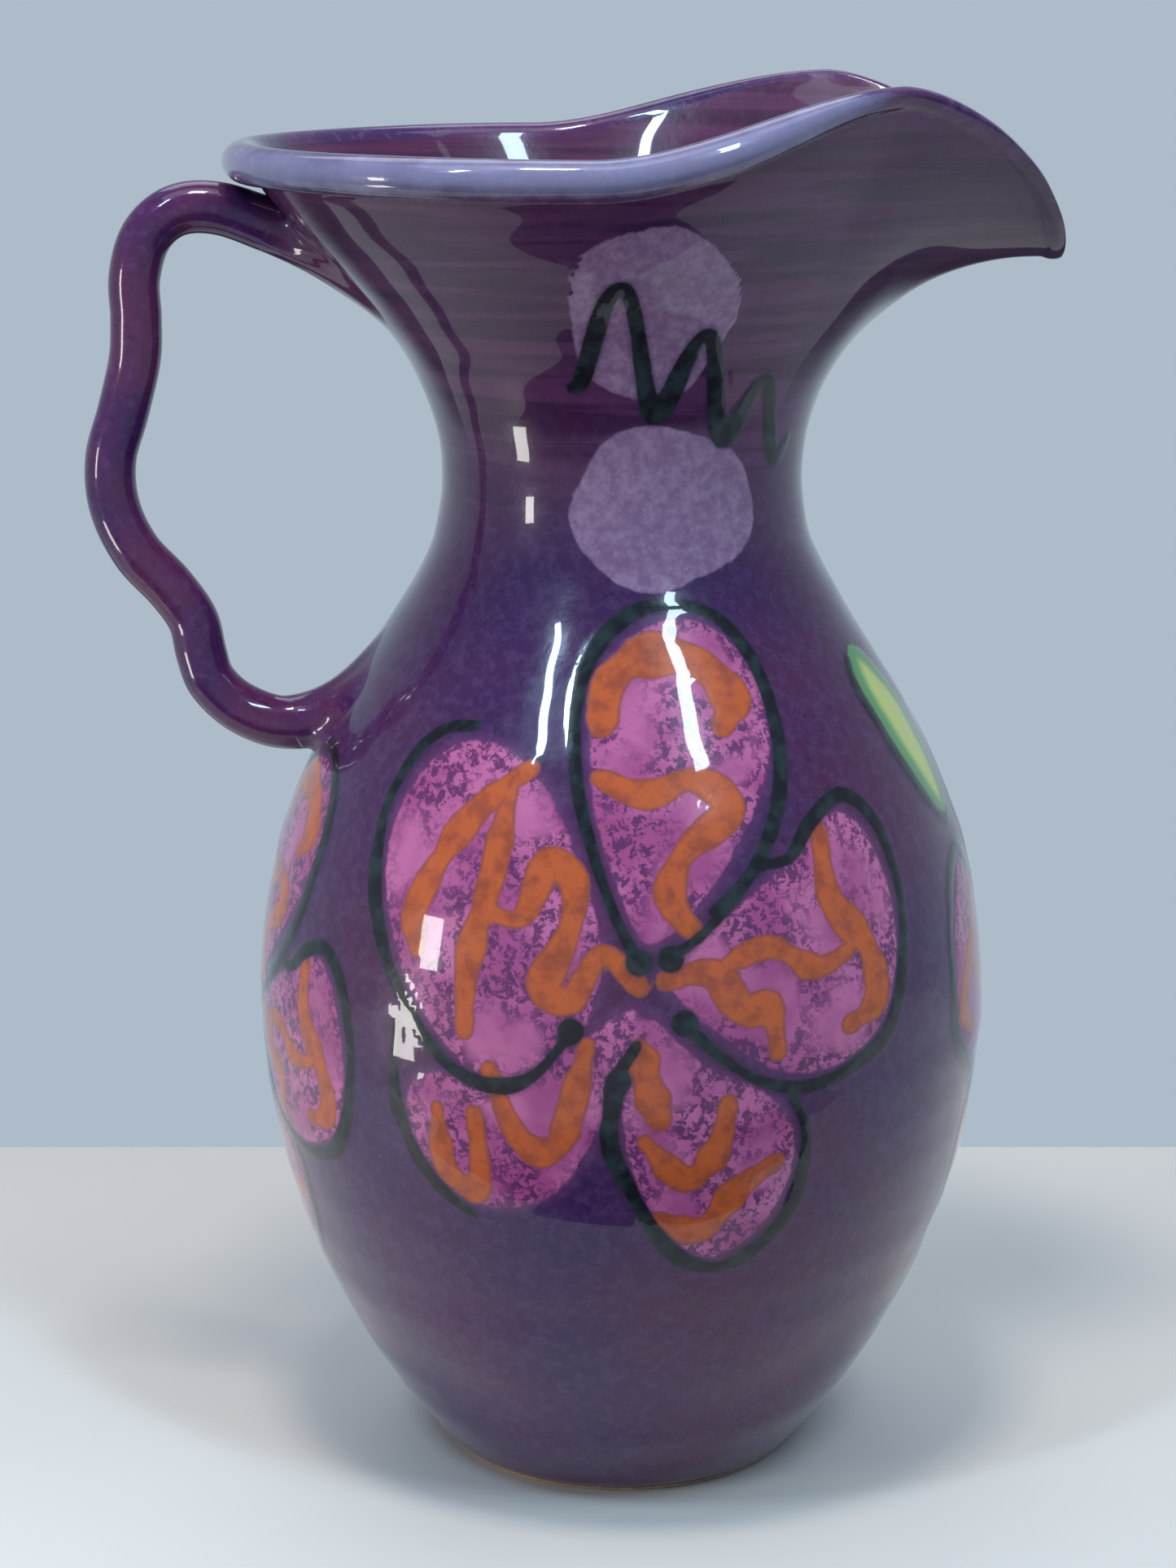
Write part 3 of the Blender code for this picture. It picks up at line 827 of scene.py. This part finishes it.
wall_faces = strip_faces(list(range(0, under + 1)), full_ring)
wall_faces += strip_faces(list(range(over, count)), full_ring)
wall_faces += strip_faces(bead_local, ~both_wide)
wall_hidden = strip_faces([under, over], both_wide) + end_cap(0, True) + end_cap(1, False)
wall_hidden += strip_faces([count - 1, 0], full_ring)
whole_wall, wall_normals = compact("mouth_wall", wall_faces, wall_hidden)
HIDDEN = 1  # the material index that marks a hidden face until the finishes are given out
for face in list(whole_wall.data.polygons)[len(wall_faces):]:
    face.material_index = HIDDEN

SPOUT_SEAM = (spout_low.x + neck_high.x) / 2


def half_of(source, name, keep_high):
    """The part of a closed wall on one side of the spout's seam, closed again at the cut."""
    form = bmesh.new()
    form.from_mesh(source.data)
    layer = form.verts.layers.float_vector.new("skin_normal")
    for vert, normal in zip(form.verts, wall_normals):
        vert[layer] = normal
    geometry = form.verts[:] + form.edges[:] + form.faces[:]
    cut = bmesh.ops.bisect_plane(form, geom=geometry, plane_co=(SPOUT_SEAM, 0, 0), plane_no=(1, 0, 0),
                                 clear_inner=keep_high, clear_outer=not keep_high)
    edges = [item for item in cut["geom_cut"] if isinstance(item, bmesh.types.BMEdge)]
    filled = bmesh.ops.triangle_fill(form, edges=edges, use_beauty=True, use_dissolve=False)
    hidden = {face for face in filled["geom"] if isinstance(face, bmesh.types.BMFace)}
    hidden |= {face for face in form.faces if face.material_index == HIDDEN}
    bmesh.ops.recalc_face_normals(form, faces=form.faces[:])
    mesh = bpy.data.meshes.new(name)
    loops = []
    for face in form.faces:
        loops += [(0, 0, 0) if face in hidden else vert[layer].normalized()[:] for vert in face.verts]
    form.to_mesh(mesh)
    form.free()
    mesh.attributes.remove(mesh.attributes["skin_normal"])
    mesh.shade_smooth()
    mesh.normals_split_custom_set(loops)
    return put_in_scene(name, mesh)


neck = half_of(whole_wall, "flared_neck_skin", keep_high=False)
spout = half_of(whole_wall, "spout_skin", keep_high=True)
bpy.data.objects.remove(whole_wall)
for thing in (rim_bead, neck, spout):
    print(thing.name, len(thing.data.polygons), "faces")

# %% [markdown]
# ## The handle
#
# The handle is a coil rolled on the table between two palms, so it is round but a little
# uneven. It was bent into waves while soft. Rings of points are swept along the same centre
# line as the solid, and each ring is nudged so that the thickness wanders.

# %% The coil
HANDLE_LINE = (
    (-56, 249.5), (-68, 253.6), (-79, 257.2), (-87.5, 256.8), (-93.4, 252), (-96, 244), (-95.8, 236),
    (-96.2, 228), (-98.8, 218), (-101.6, 208.5), (-101, 199), (-97, 190), (-90.6, 182.6), (-86.2, 176),
    (-84.6, 169), (-82.8, 163.5), (-78, 158.4), (-71, 155), (-64, 154.6), (-54, 156.5),
)
COIL_RADIUS = 5.1 * MM
COIL_SIDES = 56
END_SWELL, SWELL_LENGTH = 0.12, 30  # the share by which the ends are thicker, over how many rings
END_RINGS = 26
BITE = 2.4 * MM  # how far the ends run into the wall
WANDERS, WANDER_SIZE = 9, 0.055 * MM
centre_line = even_rows(flowing(HANDLE_LINE, per_span=12), 1.0) * MM
coil_length = len(centre_line)
tangents = np.gradient(centre_line, axis=0)
tangents /= np.linalg.norm(tangents, axis=1, keepdims=True)
side_normals = np.stack([-tangents[:, 1], tangents[:, 0]], axis=1)
from_end = np.minimum(np.arange(coil_length), np.arange(coil_length)[::-1])
coil_size = COIL_RADIUS * (1 + END_SWELL - END_SWELL * smooth_step(from_end / SWELL_LENGTH))


def wall_x(y, z):
    """How far back the outside of the pot stands at one sideways place and height."""
    angle = math.pi
    for _ in range(4):
        radius = radius_near(angle, z / MM) * MM
        angle = math.pi - math.asin(max(-0.9, min(0.9, y / radius)))
    return -math.sqrt(max(radius * radius - y * y, 1e-9))


def coil_point(position, turn, extra=0.0):
    """A point on the coil: position counts millimetres along it, turn goes round it."""
    steps = np.arange(coil_length)
    x, z = (np.interp(position, steps, centre_line[:, k]) for k in (0, 1))
    nx, nz = (np.interp(position, steps, side_normals[:, k]) for k in (0, 1))
    radius = np.interp(position, steps, coil_size) + extra
    push = radius * np.cos(turn)
    return np.stack([x + nx * push, radius * np.sin(turn) + 0 * x, z + nz * push], axis=-1)


def closed_piece(name, points, faces):
    """A smooth closed mesh with all its faces turned outwards."""
    mesh = bpy.data.meshes.new(name)
    mesh.from_pydata(points.tolist(), [], faces)
    mesh.shade_smooth()
    form = bmesh.new()
    form.from_mesh(mesh)
    bmesh.ops.recalc_face_normals(form, faces=form.faces[:])
    form.to_mesh(mesh)
    form.free()
    return put_in_scene(name, mesh)


def tube_piece(name, rows):
    """A closed tube from rings of points, its ends closed by fans."""
    count, sides = rows.shape[:2]
    index = np.arange(count * sides).reshape(count, sides)
    after = np.roll(index, -1, axis=1)
    faces = [face for i in range(count - 1) for face in quads(index, i, i + 1)[:, [0, 3, 2, 1]].tolist()]
    points = np.concatenate([rows.reshape(-1, 3), [rows[0].mean(0), rows[-1].mean(0)]])
    for k in range(sides):
        faces.append([count * sides, int(index[0, k]), int(after[0, k])])
        faces.append([count * sides + 1, int(after[-1, k]), int(index[-1, k])])
    return closed_piece(name, points, faces)


coil_turns = np.arange(COIL_SIDES) * 2 * np.pi / COIL_SIDES
places, round_coil = np.meshgrid(np.arange(coil_length, dtype=float), coil_turns, indexing="ij")
unevenness = np.zeros_like(places)
for _ in range(WANDERS):
    lobes = int(rng.integers(0, 4))
    length = rng.uniform(14, 60)
    phase, other = rng.uniform(0, 2 * np.pi, 2)
    unevenness += np.cos(lobes * round_coil + phase) * np.sin(2 * np.pi * places / length + other)
coil_rows = coil_point(places, round_coil, unevenness * WANDER_SIZE)
for row in (*range(END_RINGS), *range(coil_length - END_RINGS, coil_length)):
    for point in coil_rows[row]:
        point[0] = min(point[0], wall_x(point[1], point[2]) + BITE)
handle = tube_piece("handle_skin", coil_rows[3:-3])
print("coil", coil_length, "mm long,", round(2 * COIL_RADIUS / MM, 1), "mm thick")

# %% [markdown]
# ## Where the coil meets the wall
#
# The potter scored both faces, pressed the end of the coil on with slip, and drew the soft
# clay out onto the wall with a finger. That leaves a web that leaves the coil smoothly and
# runs out to nothing on the wall. Each line of the web is one cubic curve, tangent to the coil
# at one end and to the wall at the other. The web is long where the finger pulled, under the
# top joint and above the bottom one.

# %% Webs of pressed clay
WEB_SIDES, WEB_ROWS = 72, 22
WEB_ROOT = COIL_RADIUS * (1 + END_SWELL)
WEB_TUCK = 0.06 * MM  # the web starts this far under the skin of the coil
WEB_DEPTH = 1.6 * MM  # its hidden side lies this deep in the wall
WEB_CORE = 1.2 * MM  # and this deep in the coil


def where_it_meets(from_start):
    """Millimetres along the coil to the place where its middle meets the wall."""
    order = range(coil_length) if from_start else range(coil_length - 1, -1, -1)
    for k in order:
        x, z = centre_line[k]
        if x < wall_x(0.0, z):
            return float(k)
    return 0.0


def joint_piece(name, from_start, reaches, lengths, seed):
    """A web of clay round one end of the coil, closed on its hidden side.

    reaches and lengths are millimetres upwards, downwards and sideways: how far the web runs
    over the wall, and how far along the coil.
    """
    meets = where_it_meets(from_start)
    step = 1.0 if from_start else -1.0
    steps = np.arange(coil_length)
    root = np.array([np.interp(meets, steps, centre_line[:, k]) for k in (0, 1)])
    grid = []
    noise = np.random.default_rng(seed)
    waves = [(int(noise.integers(2, 8)), noise.uniform(0, 6.28), noise.uniform(0.5, 1)) for _ in range(6)]
    web_turns = np.arange(WEB_SIDES) * 2 * np.pi / WEB_SIDES
    for k in range(WEB_SIDES):
        turn = 2 * np.pi * k / WEB_SIDES
        start = coil_point(np.array(meets), np.array(turn))
        out = start - np.array([root[0], 0, root[1]])
        out /= np.linalg.norm(out)
        up = out[2]
        shares = max(up, 0) ** 1.5, max(-up, 0) ** 1.5, 1 - abs(up) ** 1.5
        reach = sum(a * b for a, b in zip(reaches, shares)) * MM
        length = sum(a * b for a, b in zip(lengths, shares))
        ripple = sum(w * math.sin(n * turn + p) for n, p, w in waves) * 0.05
        reach *= 1 + ripple
        leave = coil_point(np.array(meets + step * length), np.array(turn), -WEB_TUCK)
        towards = coil_point(np.array(meets + step * (length - 1)), np.array(turn), -WEB_TUCK) - leave
        towards /= np.linalg.norm(towards)

        def on_wall(distance, sink=0.0):
            y = out[1] * distance
            z = root[1] + out[2] * distance
            return np.array([wall_x(y, z) + sink, y, z])

        arrive = on_wall(WEB_ROOT + reach, 0.25 * MM)
        control = on_wall(WEB_ROOT + reach * 0.40, 0.15 * MM)
        bend = leave + towards * length * 0.60 * MM
        line = [bezier(leave, bend, control, arrive, t) for t in np.linspace(0, 1, WEB_ROWS)]
        for row, point in enumerate(line):
            t = row / (WEB_ROWS - 1)
            smear = 0.22 * MM * math.sin(math.pi * t) ** 1.3
            groove = math.sin(5 * turn + 9 * t + waves[0][1]) * 0.6 + math.sin(11 * turn - 7 * t) * 0.4
            line[row] = point + out * smear * groove
        under = [on_wall(WEB_ROOT + reach, WEB_DEPTH), on_wall(WEB_ROOT * 0.9, WEB_DEPTH)]
        grid.append(line + under)
    rows = np.array(grid).transpose(1, 0, 2)
    inner = coil_point(np.array(meets + step), web_turns, -WEB_CORE)
    top = coil_point(np.full(WEB_SIDES, meets + step * min(lengths) * 0.6), web_turns, -WEB_CORE)
    rings = np.concatenate([rows, inner[None], top[None]])
    index = np.arange(len(rings) * WEB_SIDES).reshape(len(rings), WEB_SIDES)
    faces = [face for i in range(len(rings)) for face in quads(index, i, (i + 1) % len(rings)).tolist()]
    return closed_piece(name, rings.reshape(-1, 3), faces)


top_joint = joint_piece("handle_top_joint_skin", True, (1.5, 17, 6.5), (4, 15, 8), seed=3)
bottom_joint = joint_piece("handle_bottom_joint_skin", False, (15, 9, 7), (12, 6, 8), seed=8)
print("webs", len(top_joint.data.polygons), "and", len(bottom_joint.data.polygons), "faces")

# %% [markdown]
# ## The glaze
#
# Stoneware glaze is coloured glass. The colour sits under the surface, thick and thin in
# clouds, with fine dark specks where iron has bled through, and above it lies a clear, very
# smooth skin that mirrors the room. So each finish has a coloured layer that is a little rough
# and uneven, and a clear coat that is nearly a mirror and has the same gloss all over.

# %% Helpers for the finishes
def colour(red, green, blue):
    """A colour picked by eye on screen, from 0 to 255, as the linear values a shader wants."""
    share = np.array((red, green, blue)) / 255
    return (*np.where(share <= 0.04045, share / 12.92, ((share + 0.055) / 1.055) ** 2.4).tolist(), 1.0)


class Finish:
    """A material and short ways to add nodes to it."""

    def __init__(self, name, roughness, coat, coat_roughness):
        self.material = bpy.data.materials.new(name)
        self.material.use_nodes = True
        self.nodes = self.material.node_tree.nodes
        self.links = self.material.node_tree.links
        self.shader = self.nodes["Principled BSDF"]
        self.shader.inputs["Roughness"].default_value = roughness
        self.shader.inputs["Coat Weight"].default_value = coat
        self.shader.inputs["Coat Roughness"].default_value = coat_roughness
        self.shader.inputs["IOR"].default_value = 1.5
        self.shader.inputs["Specular IOR Level"].default_value = 0.15
        self.shader.inputs["Coat IOR"].default_value = 1.38
        self.place = self.nodes.new("ShaderNodeTexCoord").outputs["Object"]

    def put(self, socket, value):
        if isinstance(value, (int, float, tuple)):
            socket.default_value = value
        else:
            self.links.new(value, socket)

    def noise(self, scale, detail=2.0, rough=0.5, stretch=None, twist=0.0):
        where = self.place
        if stretch:
            mapping = self.nodes.new("ShaderNodeMapping")
            mapping.inputs["Scale"].default_value = stretch
            self.links.new(where, mapping.inputs["Vector"])
            where = mapping.outputs["Vector"]
        node = self.nodes.new("ShaderNodeTexNoise")
        node.inputs["Scale"].default_value = scale
        node.inputs["Detail"].default_value = detail
        node.inputs["Roughness"].default_value = rough
        node.inputs["Distortion"].default_value = twist
        self.links.new(where, node.inputs["Vector"])
        return node.outputs["Fac"]

    def number(self, name):
        node = self.nodes.new("ShaderNodeAttribute")
        node.attribute_name = name
        return node.outputs["Fac"]

    def maths(self, kind, a, b):
        node = self.nodes.new("ShaderNodeMath")
        node.operation = kind
        self.put(node.inputs[0], a)
        self.put(node.inputs[1], b)
        return node.outputs[0]

    def times(self, a, b):
        return self.maths("MULTIPLY", a, b)

    def plus(self, a, b):
        return self.maths("ADD", a, b)

    def ramp(self, value, low, high, start=0.0, end=1.0):
        """Runs smoothly from start to end while value goes from low to high."""
        node = self.nodes.new("ShaderNodeMapRange")
        node.interpolation_type = "SMOOTHSTEP"
        self.put(node.inputs["Value"], value)
        for label, number in zip(("From Min", "From Max", "To Min", "To Max"), (low, high, start, end)):
            node.inputs[label].default_value = number
        return node.outputs["Result"]

    def between(self, value, low, high, first, second):
        """Goes from one colour to another, both from 0 to 255, while value goes from low to high."""
        return self.mix(self.ramp(value, low, high), colour(*first), colour(*second))

    def mix(self, share, first, second):
        node = self.nodes.new("ShaderNodeMix")
        node.data_type = "RGBA"
        self.put(node.inputs["Factor"], share)
        self.put(node.inputs[6], first)
        self.put(node.inputs[7], second)
        return node.outputs[2]

    def height_of(self):
        node = self.nodes.new("ShaderNodeSeparateXYZ")
        self.links.new(self.place, node.inputs[0])
        return node.outputs["Z"]

    def bump(self, height, distance):
        node = self.nodes.new("ShaderNodeBump")
        node.inputs["Strength"].default_value = 1.0
        node.inputs["Distance"].default_value = distance
        self.links.new(height, node.inputs["Height"])
        self.links.new(node.outputs["Normal"], self.shader.inputs["Normal"])


# %% [markdown]
# ### The body glaze and its painting
#
# Clouds drift between blue and red purple. Round the neck the last coat was brushed on while
# the wheel turned, which left level bands. Where the glaze ran over the pink, it broke into a
# fine dark network, thickest near the edge of each petal. The marks are mixed in the order in
# which they were painted: discs, leaves, petals, orange, ink.

# %% Painted body glaze
def body_glaze(name):
    f = Finish(name, 0.3, 1.0, 0.035)
    height = f.height_of()
    cloud = f.noise(16, 3)
    fine = f.noise(420, 4, 0.7)
    speck = f.noise(900, 2, 0.6)
    base = f.between(cloud, 0.36, 0.64, (56, 31, 77), (74, 33, 68))
    base = f.mix(f.ramp(fine, 0.42, 0.66, 0.0, 0.5), base, colour(82, 58, 98))
    base = f.mix(f.ramp(speck, 0.55, 0.72, 0.0, 0.5), base, colour(38, 22, 50))
    bands = f.noise(30, 4, 0.6, stretch=(0.5, 0.5, 9.0), twist=0.6)
    on_neck = f.ramp(height, 0.185, 0.225)
    banded = f.between(bands, 0.40, 0.62, (56, 24, 56), (94, 50, 88))
    base = f.mix(f.times(on_neck, 0.62), base, banded)
    base = f.mix(f.times(f.number("inside"), 0.8), base,
                 f.between(bands, 0.35, 0.65, (66, 28, 58), (92, 44, 78)))

    violet_rim = f.between(fine, 0.35, 0.7, (76, 48, 100), (116, 90, 138))
    base = f.mix(f.times(f.number("crown"), 0.9), base, violet_rim)

    ragged = f.times(f.maths("SUBTRACT", f.noise(330, 3, 0.6), 0.5), 1.6)
    slow = f.times(f.maths("SUBTRACT", f.noise(90, 2), 0.5), 2.0)

    def inside(label, soft, rag):
        edge = f.plus(f.number(label), f.times(ragged, rag))
        return f.ramp(edge, soft, -soft)

    disc_colour = f.between(fine, 0.35, 0.7, (132, 100, 134), (162, 130, 160))
    base = f.mix(f.times(inside("disc", 0.35, 0.8), 0.82), base, disc_colour)
    leaf_depth = f.ramp(f.plus(f.number("leaf"), slow), -2.0, -5.5)
    leaf_colour = f.mix(leaf_depth, colour(84, 142, 84), colour(186, 196, 104))
    base = f.mix(inside("leaf", 0.3, 0.4), base, leaf_colour)

    pink = f.between(f.noise(70, 3), 0.38, 0.64, (158, 70, 120), (188, 102, 146))
    network = f.ramp(f.noise(520, 3, 0.75, twist=0.4), 0.46, 0.56)
    thick = f.ramp(f.noise(62, 2, 0.5), 0.38, 0.56)
    edge_dark = f.ramp(f.number("petal"), -5.0, -0.5, 0.0, 0.45)
    cover = f.maths("MINIMUM", f.plus(thick, edge_dark), 1.0)
    pink = f.mix(f.times(network, f.times(cover, 0.88)), pink, colour(58, 22, 66))
    base = f.mix(inside("petal", 0.4, 1.0), base, pink)
    glow = f.times(f.ramp(f.number("petal"), 3.0, 0.0), 0.16)
    base = f.mix(glow, base, colour(150, 80, 140))

    burnt = f.between(f.noise(240, 3, 0.6), 0.40, 0.68, (184, 88, 38), (150, 70, 40))
    thin_edge = f.ramp(f.number("orange"), 0.0, -0.9)
    burnt = f.mix(thin_edge, colour(136, 70, 60), burnt)
    base = f.mix(f.times(inside("orange", 0.3, 0.5), 0.95), base, burnt)

    halo = f.times(f.ramp(f.number("ink"), 1.2, 0.0), 0.35)
    base = f.mix(halo, base, colour(52, 34, 66))
    dark = f.between(f.noise(260, 2), 0.4, 0.7, (16, 20, 24), (34, 48, 50))
    base = f.mix(f.times(inside("ink", 0.28, 0.35), 0.96), base, dark)

    bare = f.ramp(f.plus(height, f.times(slow, 0.00025)), 0.0011, 0.0007)
    clay = f.between(fine, 0.35, 0.65, (150, 124, 96), (176, 150, 118))
    base = f.mix(bare, base, clay)
    f.links.new(base, f.shader.inputs["Base Color"])
    gloss = f.ramp(f.noise(55, 3), 0.3, 0.7, 0.16, 0.34)
    gloss = f.plus(gloss, f.times(bare, 0.5))
    f.links.new(gloss, f.shader.inputs["Roughness"])
    relief = f.plus(f.times(fine, 0.5), f.times(f.noise(140, 2), 0.9))
    f.bump(relief, 0.00010)
    return f.material


aubergine = body_glaze("aubergine_glaze_look")

# %% [markdown]
# ### Plain glazes for the handle and the rim
#
# The handle took a redder purple. On the rim the glaze ran thin over the bead and let paler
# violet show along its crown, and a pale blue-white highlight is painted along that crown as well. Neither
# carries the painted flowers.

# %% Handle and rim glazes
def plain_glaze(name, deep, pale, crown, thin_glaze_and_highlight=0.0):
    """The last argument is how much paler the crown of the bead is painted: partly the glaze breaking thin
    there, partly a painted blue-white highlight.
    """
    f = Finish(name, 0.25, 1.0, 0.03)
    fine = f.noise(420, 4, 0.7)
    base = f.mix(f.ramp(f.noise(45, 3), 0.36, 0.64), deep, pale)
    base = f.mix(f.ramp(fine, 0.48, 0.7, 0.0, 0.4), base, crown)
    base = f.mix(f.ramp(f.noise(900, 2), 0.58, 0.74, 0.0, 0.5), base, colour(36, 18, 44))
    if thin_glaze_and_highlight:
        # Paler blue-white along the bead's crown: partly the glaze breaking thin, partly a painted
        # highlight.
        thin_glaze_and_highlight_mask = f.plus(f.number("crown"), f.times(f.noise(120, 3), 0.25))
        base = f.mix(f.ramp(thin_glaze_and_highlight_mask, 0.95, 1.12, 0.0, thin_glaze_and_highlight), base, colour(158, 162, 196))
    f.links.new(base, f.shader.inputs["Base Color"])
    f.links.new(f.ramp(f.noise(60, 3), 0.3, 0.7, 0.14, 0.30), f.shader.inputs["Roughness"])
    f.bump(f.plus(f.times(fine, 0.4), f.noise(130, 2)), 0.00009)
    return f.material


plum = plain_glaze("plum_glaze_look", colour(62, 28, 78), colour(84, 36, 74), colour(96, 62, 112))
# The violet bead carries the painted blue-white highlight along its crown.
violet = plain_glaze("violet_bead_look", colour(62, 38, 84), colour(84, 48, 88), colour(116, 90, 134),
                     thin_glaze_and_highlight=0.45)
print("finishes:", aubergine.name, plum.name, violet.name)

# %% [markdown]
# ## Handing over the pieces
#
# Each piece stands for the solid of the same name and takes the finish listed with it, beside the name of
# that solid's slot.

# %% Pieces and their solids
PIECES = (
    (foot, "foot", aubergine, "aubergine_glaze"),
    (belly, "belly", aubergine, "aubergine_glaze"),
    (shoulder, "shoulder", aubergine, "aubergine_glaze"),
    (neck, "flared_neck", aubergine, "aubergine_glaze"),
    (spout, "spout", aubergine, "aubergine_glaze"),
    (rim_bead, "rim_bead", violet, "violet_bead_glaze"),
    (handle, "handle", plum, "plum_glaze"),
    (top_joint, "handle_top_joint", plum, "plum_glaze"),
    (bottom_joint, "handle_bottom_joint", plum, "plum_glaze"),
)
for thing, node, finish, slot in PIECES:
    thing.data.materials.clear()
    thing.data.materials.append(finish)
    thing.data.polygons.foreach_set("material_index", np.zeros(len(thing.data.polygons), np.int32))
    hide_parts(node)
    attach(thing, "root")
print(len(PIECES), "pieces for", len(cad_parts), "solids")

# %% [markdown]
# ## The table, the light and the camera
#
# The pot stands on a plain white table in a pale room. A glossy pot is mostly what it
# reflects, so the light comes from windows drawn as soft panels: two low ones to the left, a
# cooler one high on each side, a small lamp and a wide panel on the ceiling, and a weak fill
# from behind. They are hidden from the camera and show only in the glaze.

# %% Table and room
VIEW_TURN = math.radians(-6)  # the camera and the table are turned this much round the pot


def stage_material(name, tone, roughness):
    f = Finish(name, roughness, 0.0, 0.3)
    grain = f.noise(9, 3)
    f.links.new(f.mix(f.ramp(grain, 0.3, 0.7, 0.0, 0.35), tone, tuple(0.9 * v for v in tone[:3]) + (1.0,)),
                f.shader.inputs["Base Color"])
    return f.material


def table(left, right, front, back, thickness):
    """A plain slab, turned to face the camera, with its top at height nought."""
    form = bmesh.new()
    bmesh.ops.create_cube(form, size=1.0)
    for vert in form.verts:
        vert.co.x = left if vert.co.x < 0 else right
        vert.co.y = front if vert.co.y < 0 else back
        vert.co.z = -thickness if vert.co.z < 0 else 0.0
    bmesh.ops.bevel(form, geom=form.edges[:], offset=0.002, segments=3, affect="EDGES", profile=0.5)
    turn = Matrix.Rotation(VIEW_TURN, 3, "Z")
    bmesh.ops.rotate(form, verts=form.verts[:], cent=(0, 0, 0), matrix=turn)
    mesh = bpy.data.meshes.new("table")
    form.to_mesh(mesh)
    form.free()
    mesh.materials.append(stage_material("table_paint", colour(218, 214, 208), 0.5))
    return put_in_scene("table", mesh)


floor = table(-0.62, 0.62, -0.14, 0.185, 0.03)

world = bpy.data.worlds.new("room_light")
bpy.context.scene.world = world
world.use_nodes = True
sky = world.node_tree.nodes["Background"]
ramp = world.node_tree.nodes.new("ShaderNodeValToRGB")
coordinate = world.node_tree.nodes.new("ShaderNodeTexCoord")
split = world.node_tree.nodes.new("ShaderNodeSeparateXYZ")
level = world.node_tree.nodes.new("ShaderNodeMath")
level.operation = "MULTIPLY_ADD"
level.inputs[1].default_value = 0.5
level.inputs[2].default_value = 0.5
world.node_tree.links.new(coordinate.outputs["Generated"], split.inputs[0])
world.node_tree.links.new(split.outputs["Z"], level.inputs[0])
world.node_tree.links.new(level.outputs[0], ramp.inputs["Fac"])
world.node_tree.links.new(ramp.outputs["Color"], sky.inputs["Color"])
BELOW, WALL, ABOVE = colour(52, 54, 62), colour(180, 195, 208), colour(126, 138, 158)
ramp.color_ramp.elements[0].position = 0.24
ramp.color_ramp.elements[0].color = BELOW
ramp.color_ramp.elements[1].position = 0.80
ramp.color_ramp.elements[1].color = ABOVE
for position in (0.32, 0.50):
    ramp.color_ramp.elements.new(position).color = WALL
sky.inputs["Strength"].default_value = 0.92


def panel(name, azimuth, elevation, distance, width, height, power, tone):
    """A soft panel of light that faces the pot. Azimuth runs from the camera's side, leftwards."""
    light = bpy.data.lights.new(name, "AREA")
    light.shape = "RECTANGLE"
    light.size = width
    light.size_y = height
    light.energy = power
    light.color = tone
    thing = put_in_scene(name, light)
    bearing = math.radians(-90 - azimuth) + VIEW_TURN
    rise = math.radians(elevation)
    middle = Vector((0, 0, 0.15))
    thing.location = middle + distance * Vector((math.cos(rise) * math.cos(bearing),
                                                 math.cos(rise) * math.sin(bearing), math.sin(rise)))
    thing.rotation_euler = (middle - thing.location).to_track_quat("-Z", "Y").to_euler()
    thing.visible_camera = False


for settings in (  # name, azimuth, elevation, distance, width, height, power, colour
    ("left_window", 60, 2, 0.95, 0.10, 0.20, 1.4, (1.0, 0.97, 0.93)),
    ("left_low_window", 64, -16, 0.34, 0.05, 0.05, 0.14, (1.0, 0.97, 0.93)),
    ("left_high_window", 40, 50, 1.1, 0.05, 0.20, 3.0, (0.55, 0.80, 1.0)),
    ("right_high_window", -34, 49, 1.1, 0.10, 0.42, 5.0, (0.62, 0.84, 1.0)),
    ("ceiling_lamp", 12, 72, 1.3, 0.22, 0.18, 6.0, (1.0, 0.94, 0.86)),
    ("ceiling", -10, 80, 1.25, 1.5, 0.55, 4.4, (0.88, 0.94, 1.0)),
    ("back_fill", 165, 55, 1.4, 0.9, 0.6, 3.0, (0.95, 0.97, 1.0)),
):
    panel(*settings)

# %% [markdown]
# The camera stands about seventy-five centimetres from the pot, a little above the rim, and
# looks slightly down, as a person would who leans towards a shelf.

# %% Camera
camera = put_in_scene("camera", bpy.data.cameras.new("camera"))
camera.location = (-0.0842, -0.7360, 0.3134)
camera.rotation_euler = (math.radians(90 - 13.17), 0, VIEW_TURN)
camera.data.lens = 85.5
camera.data.sensor_width = 36
camera.data.clip_start = 0.01
bpy.context.scene.camera = camera
bpy.context.scene.view_settings.view_transform = "Standard"
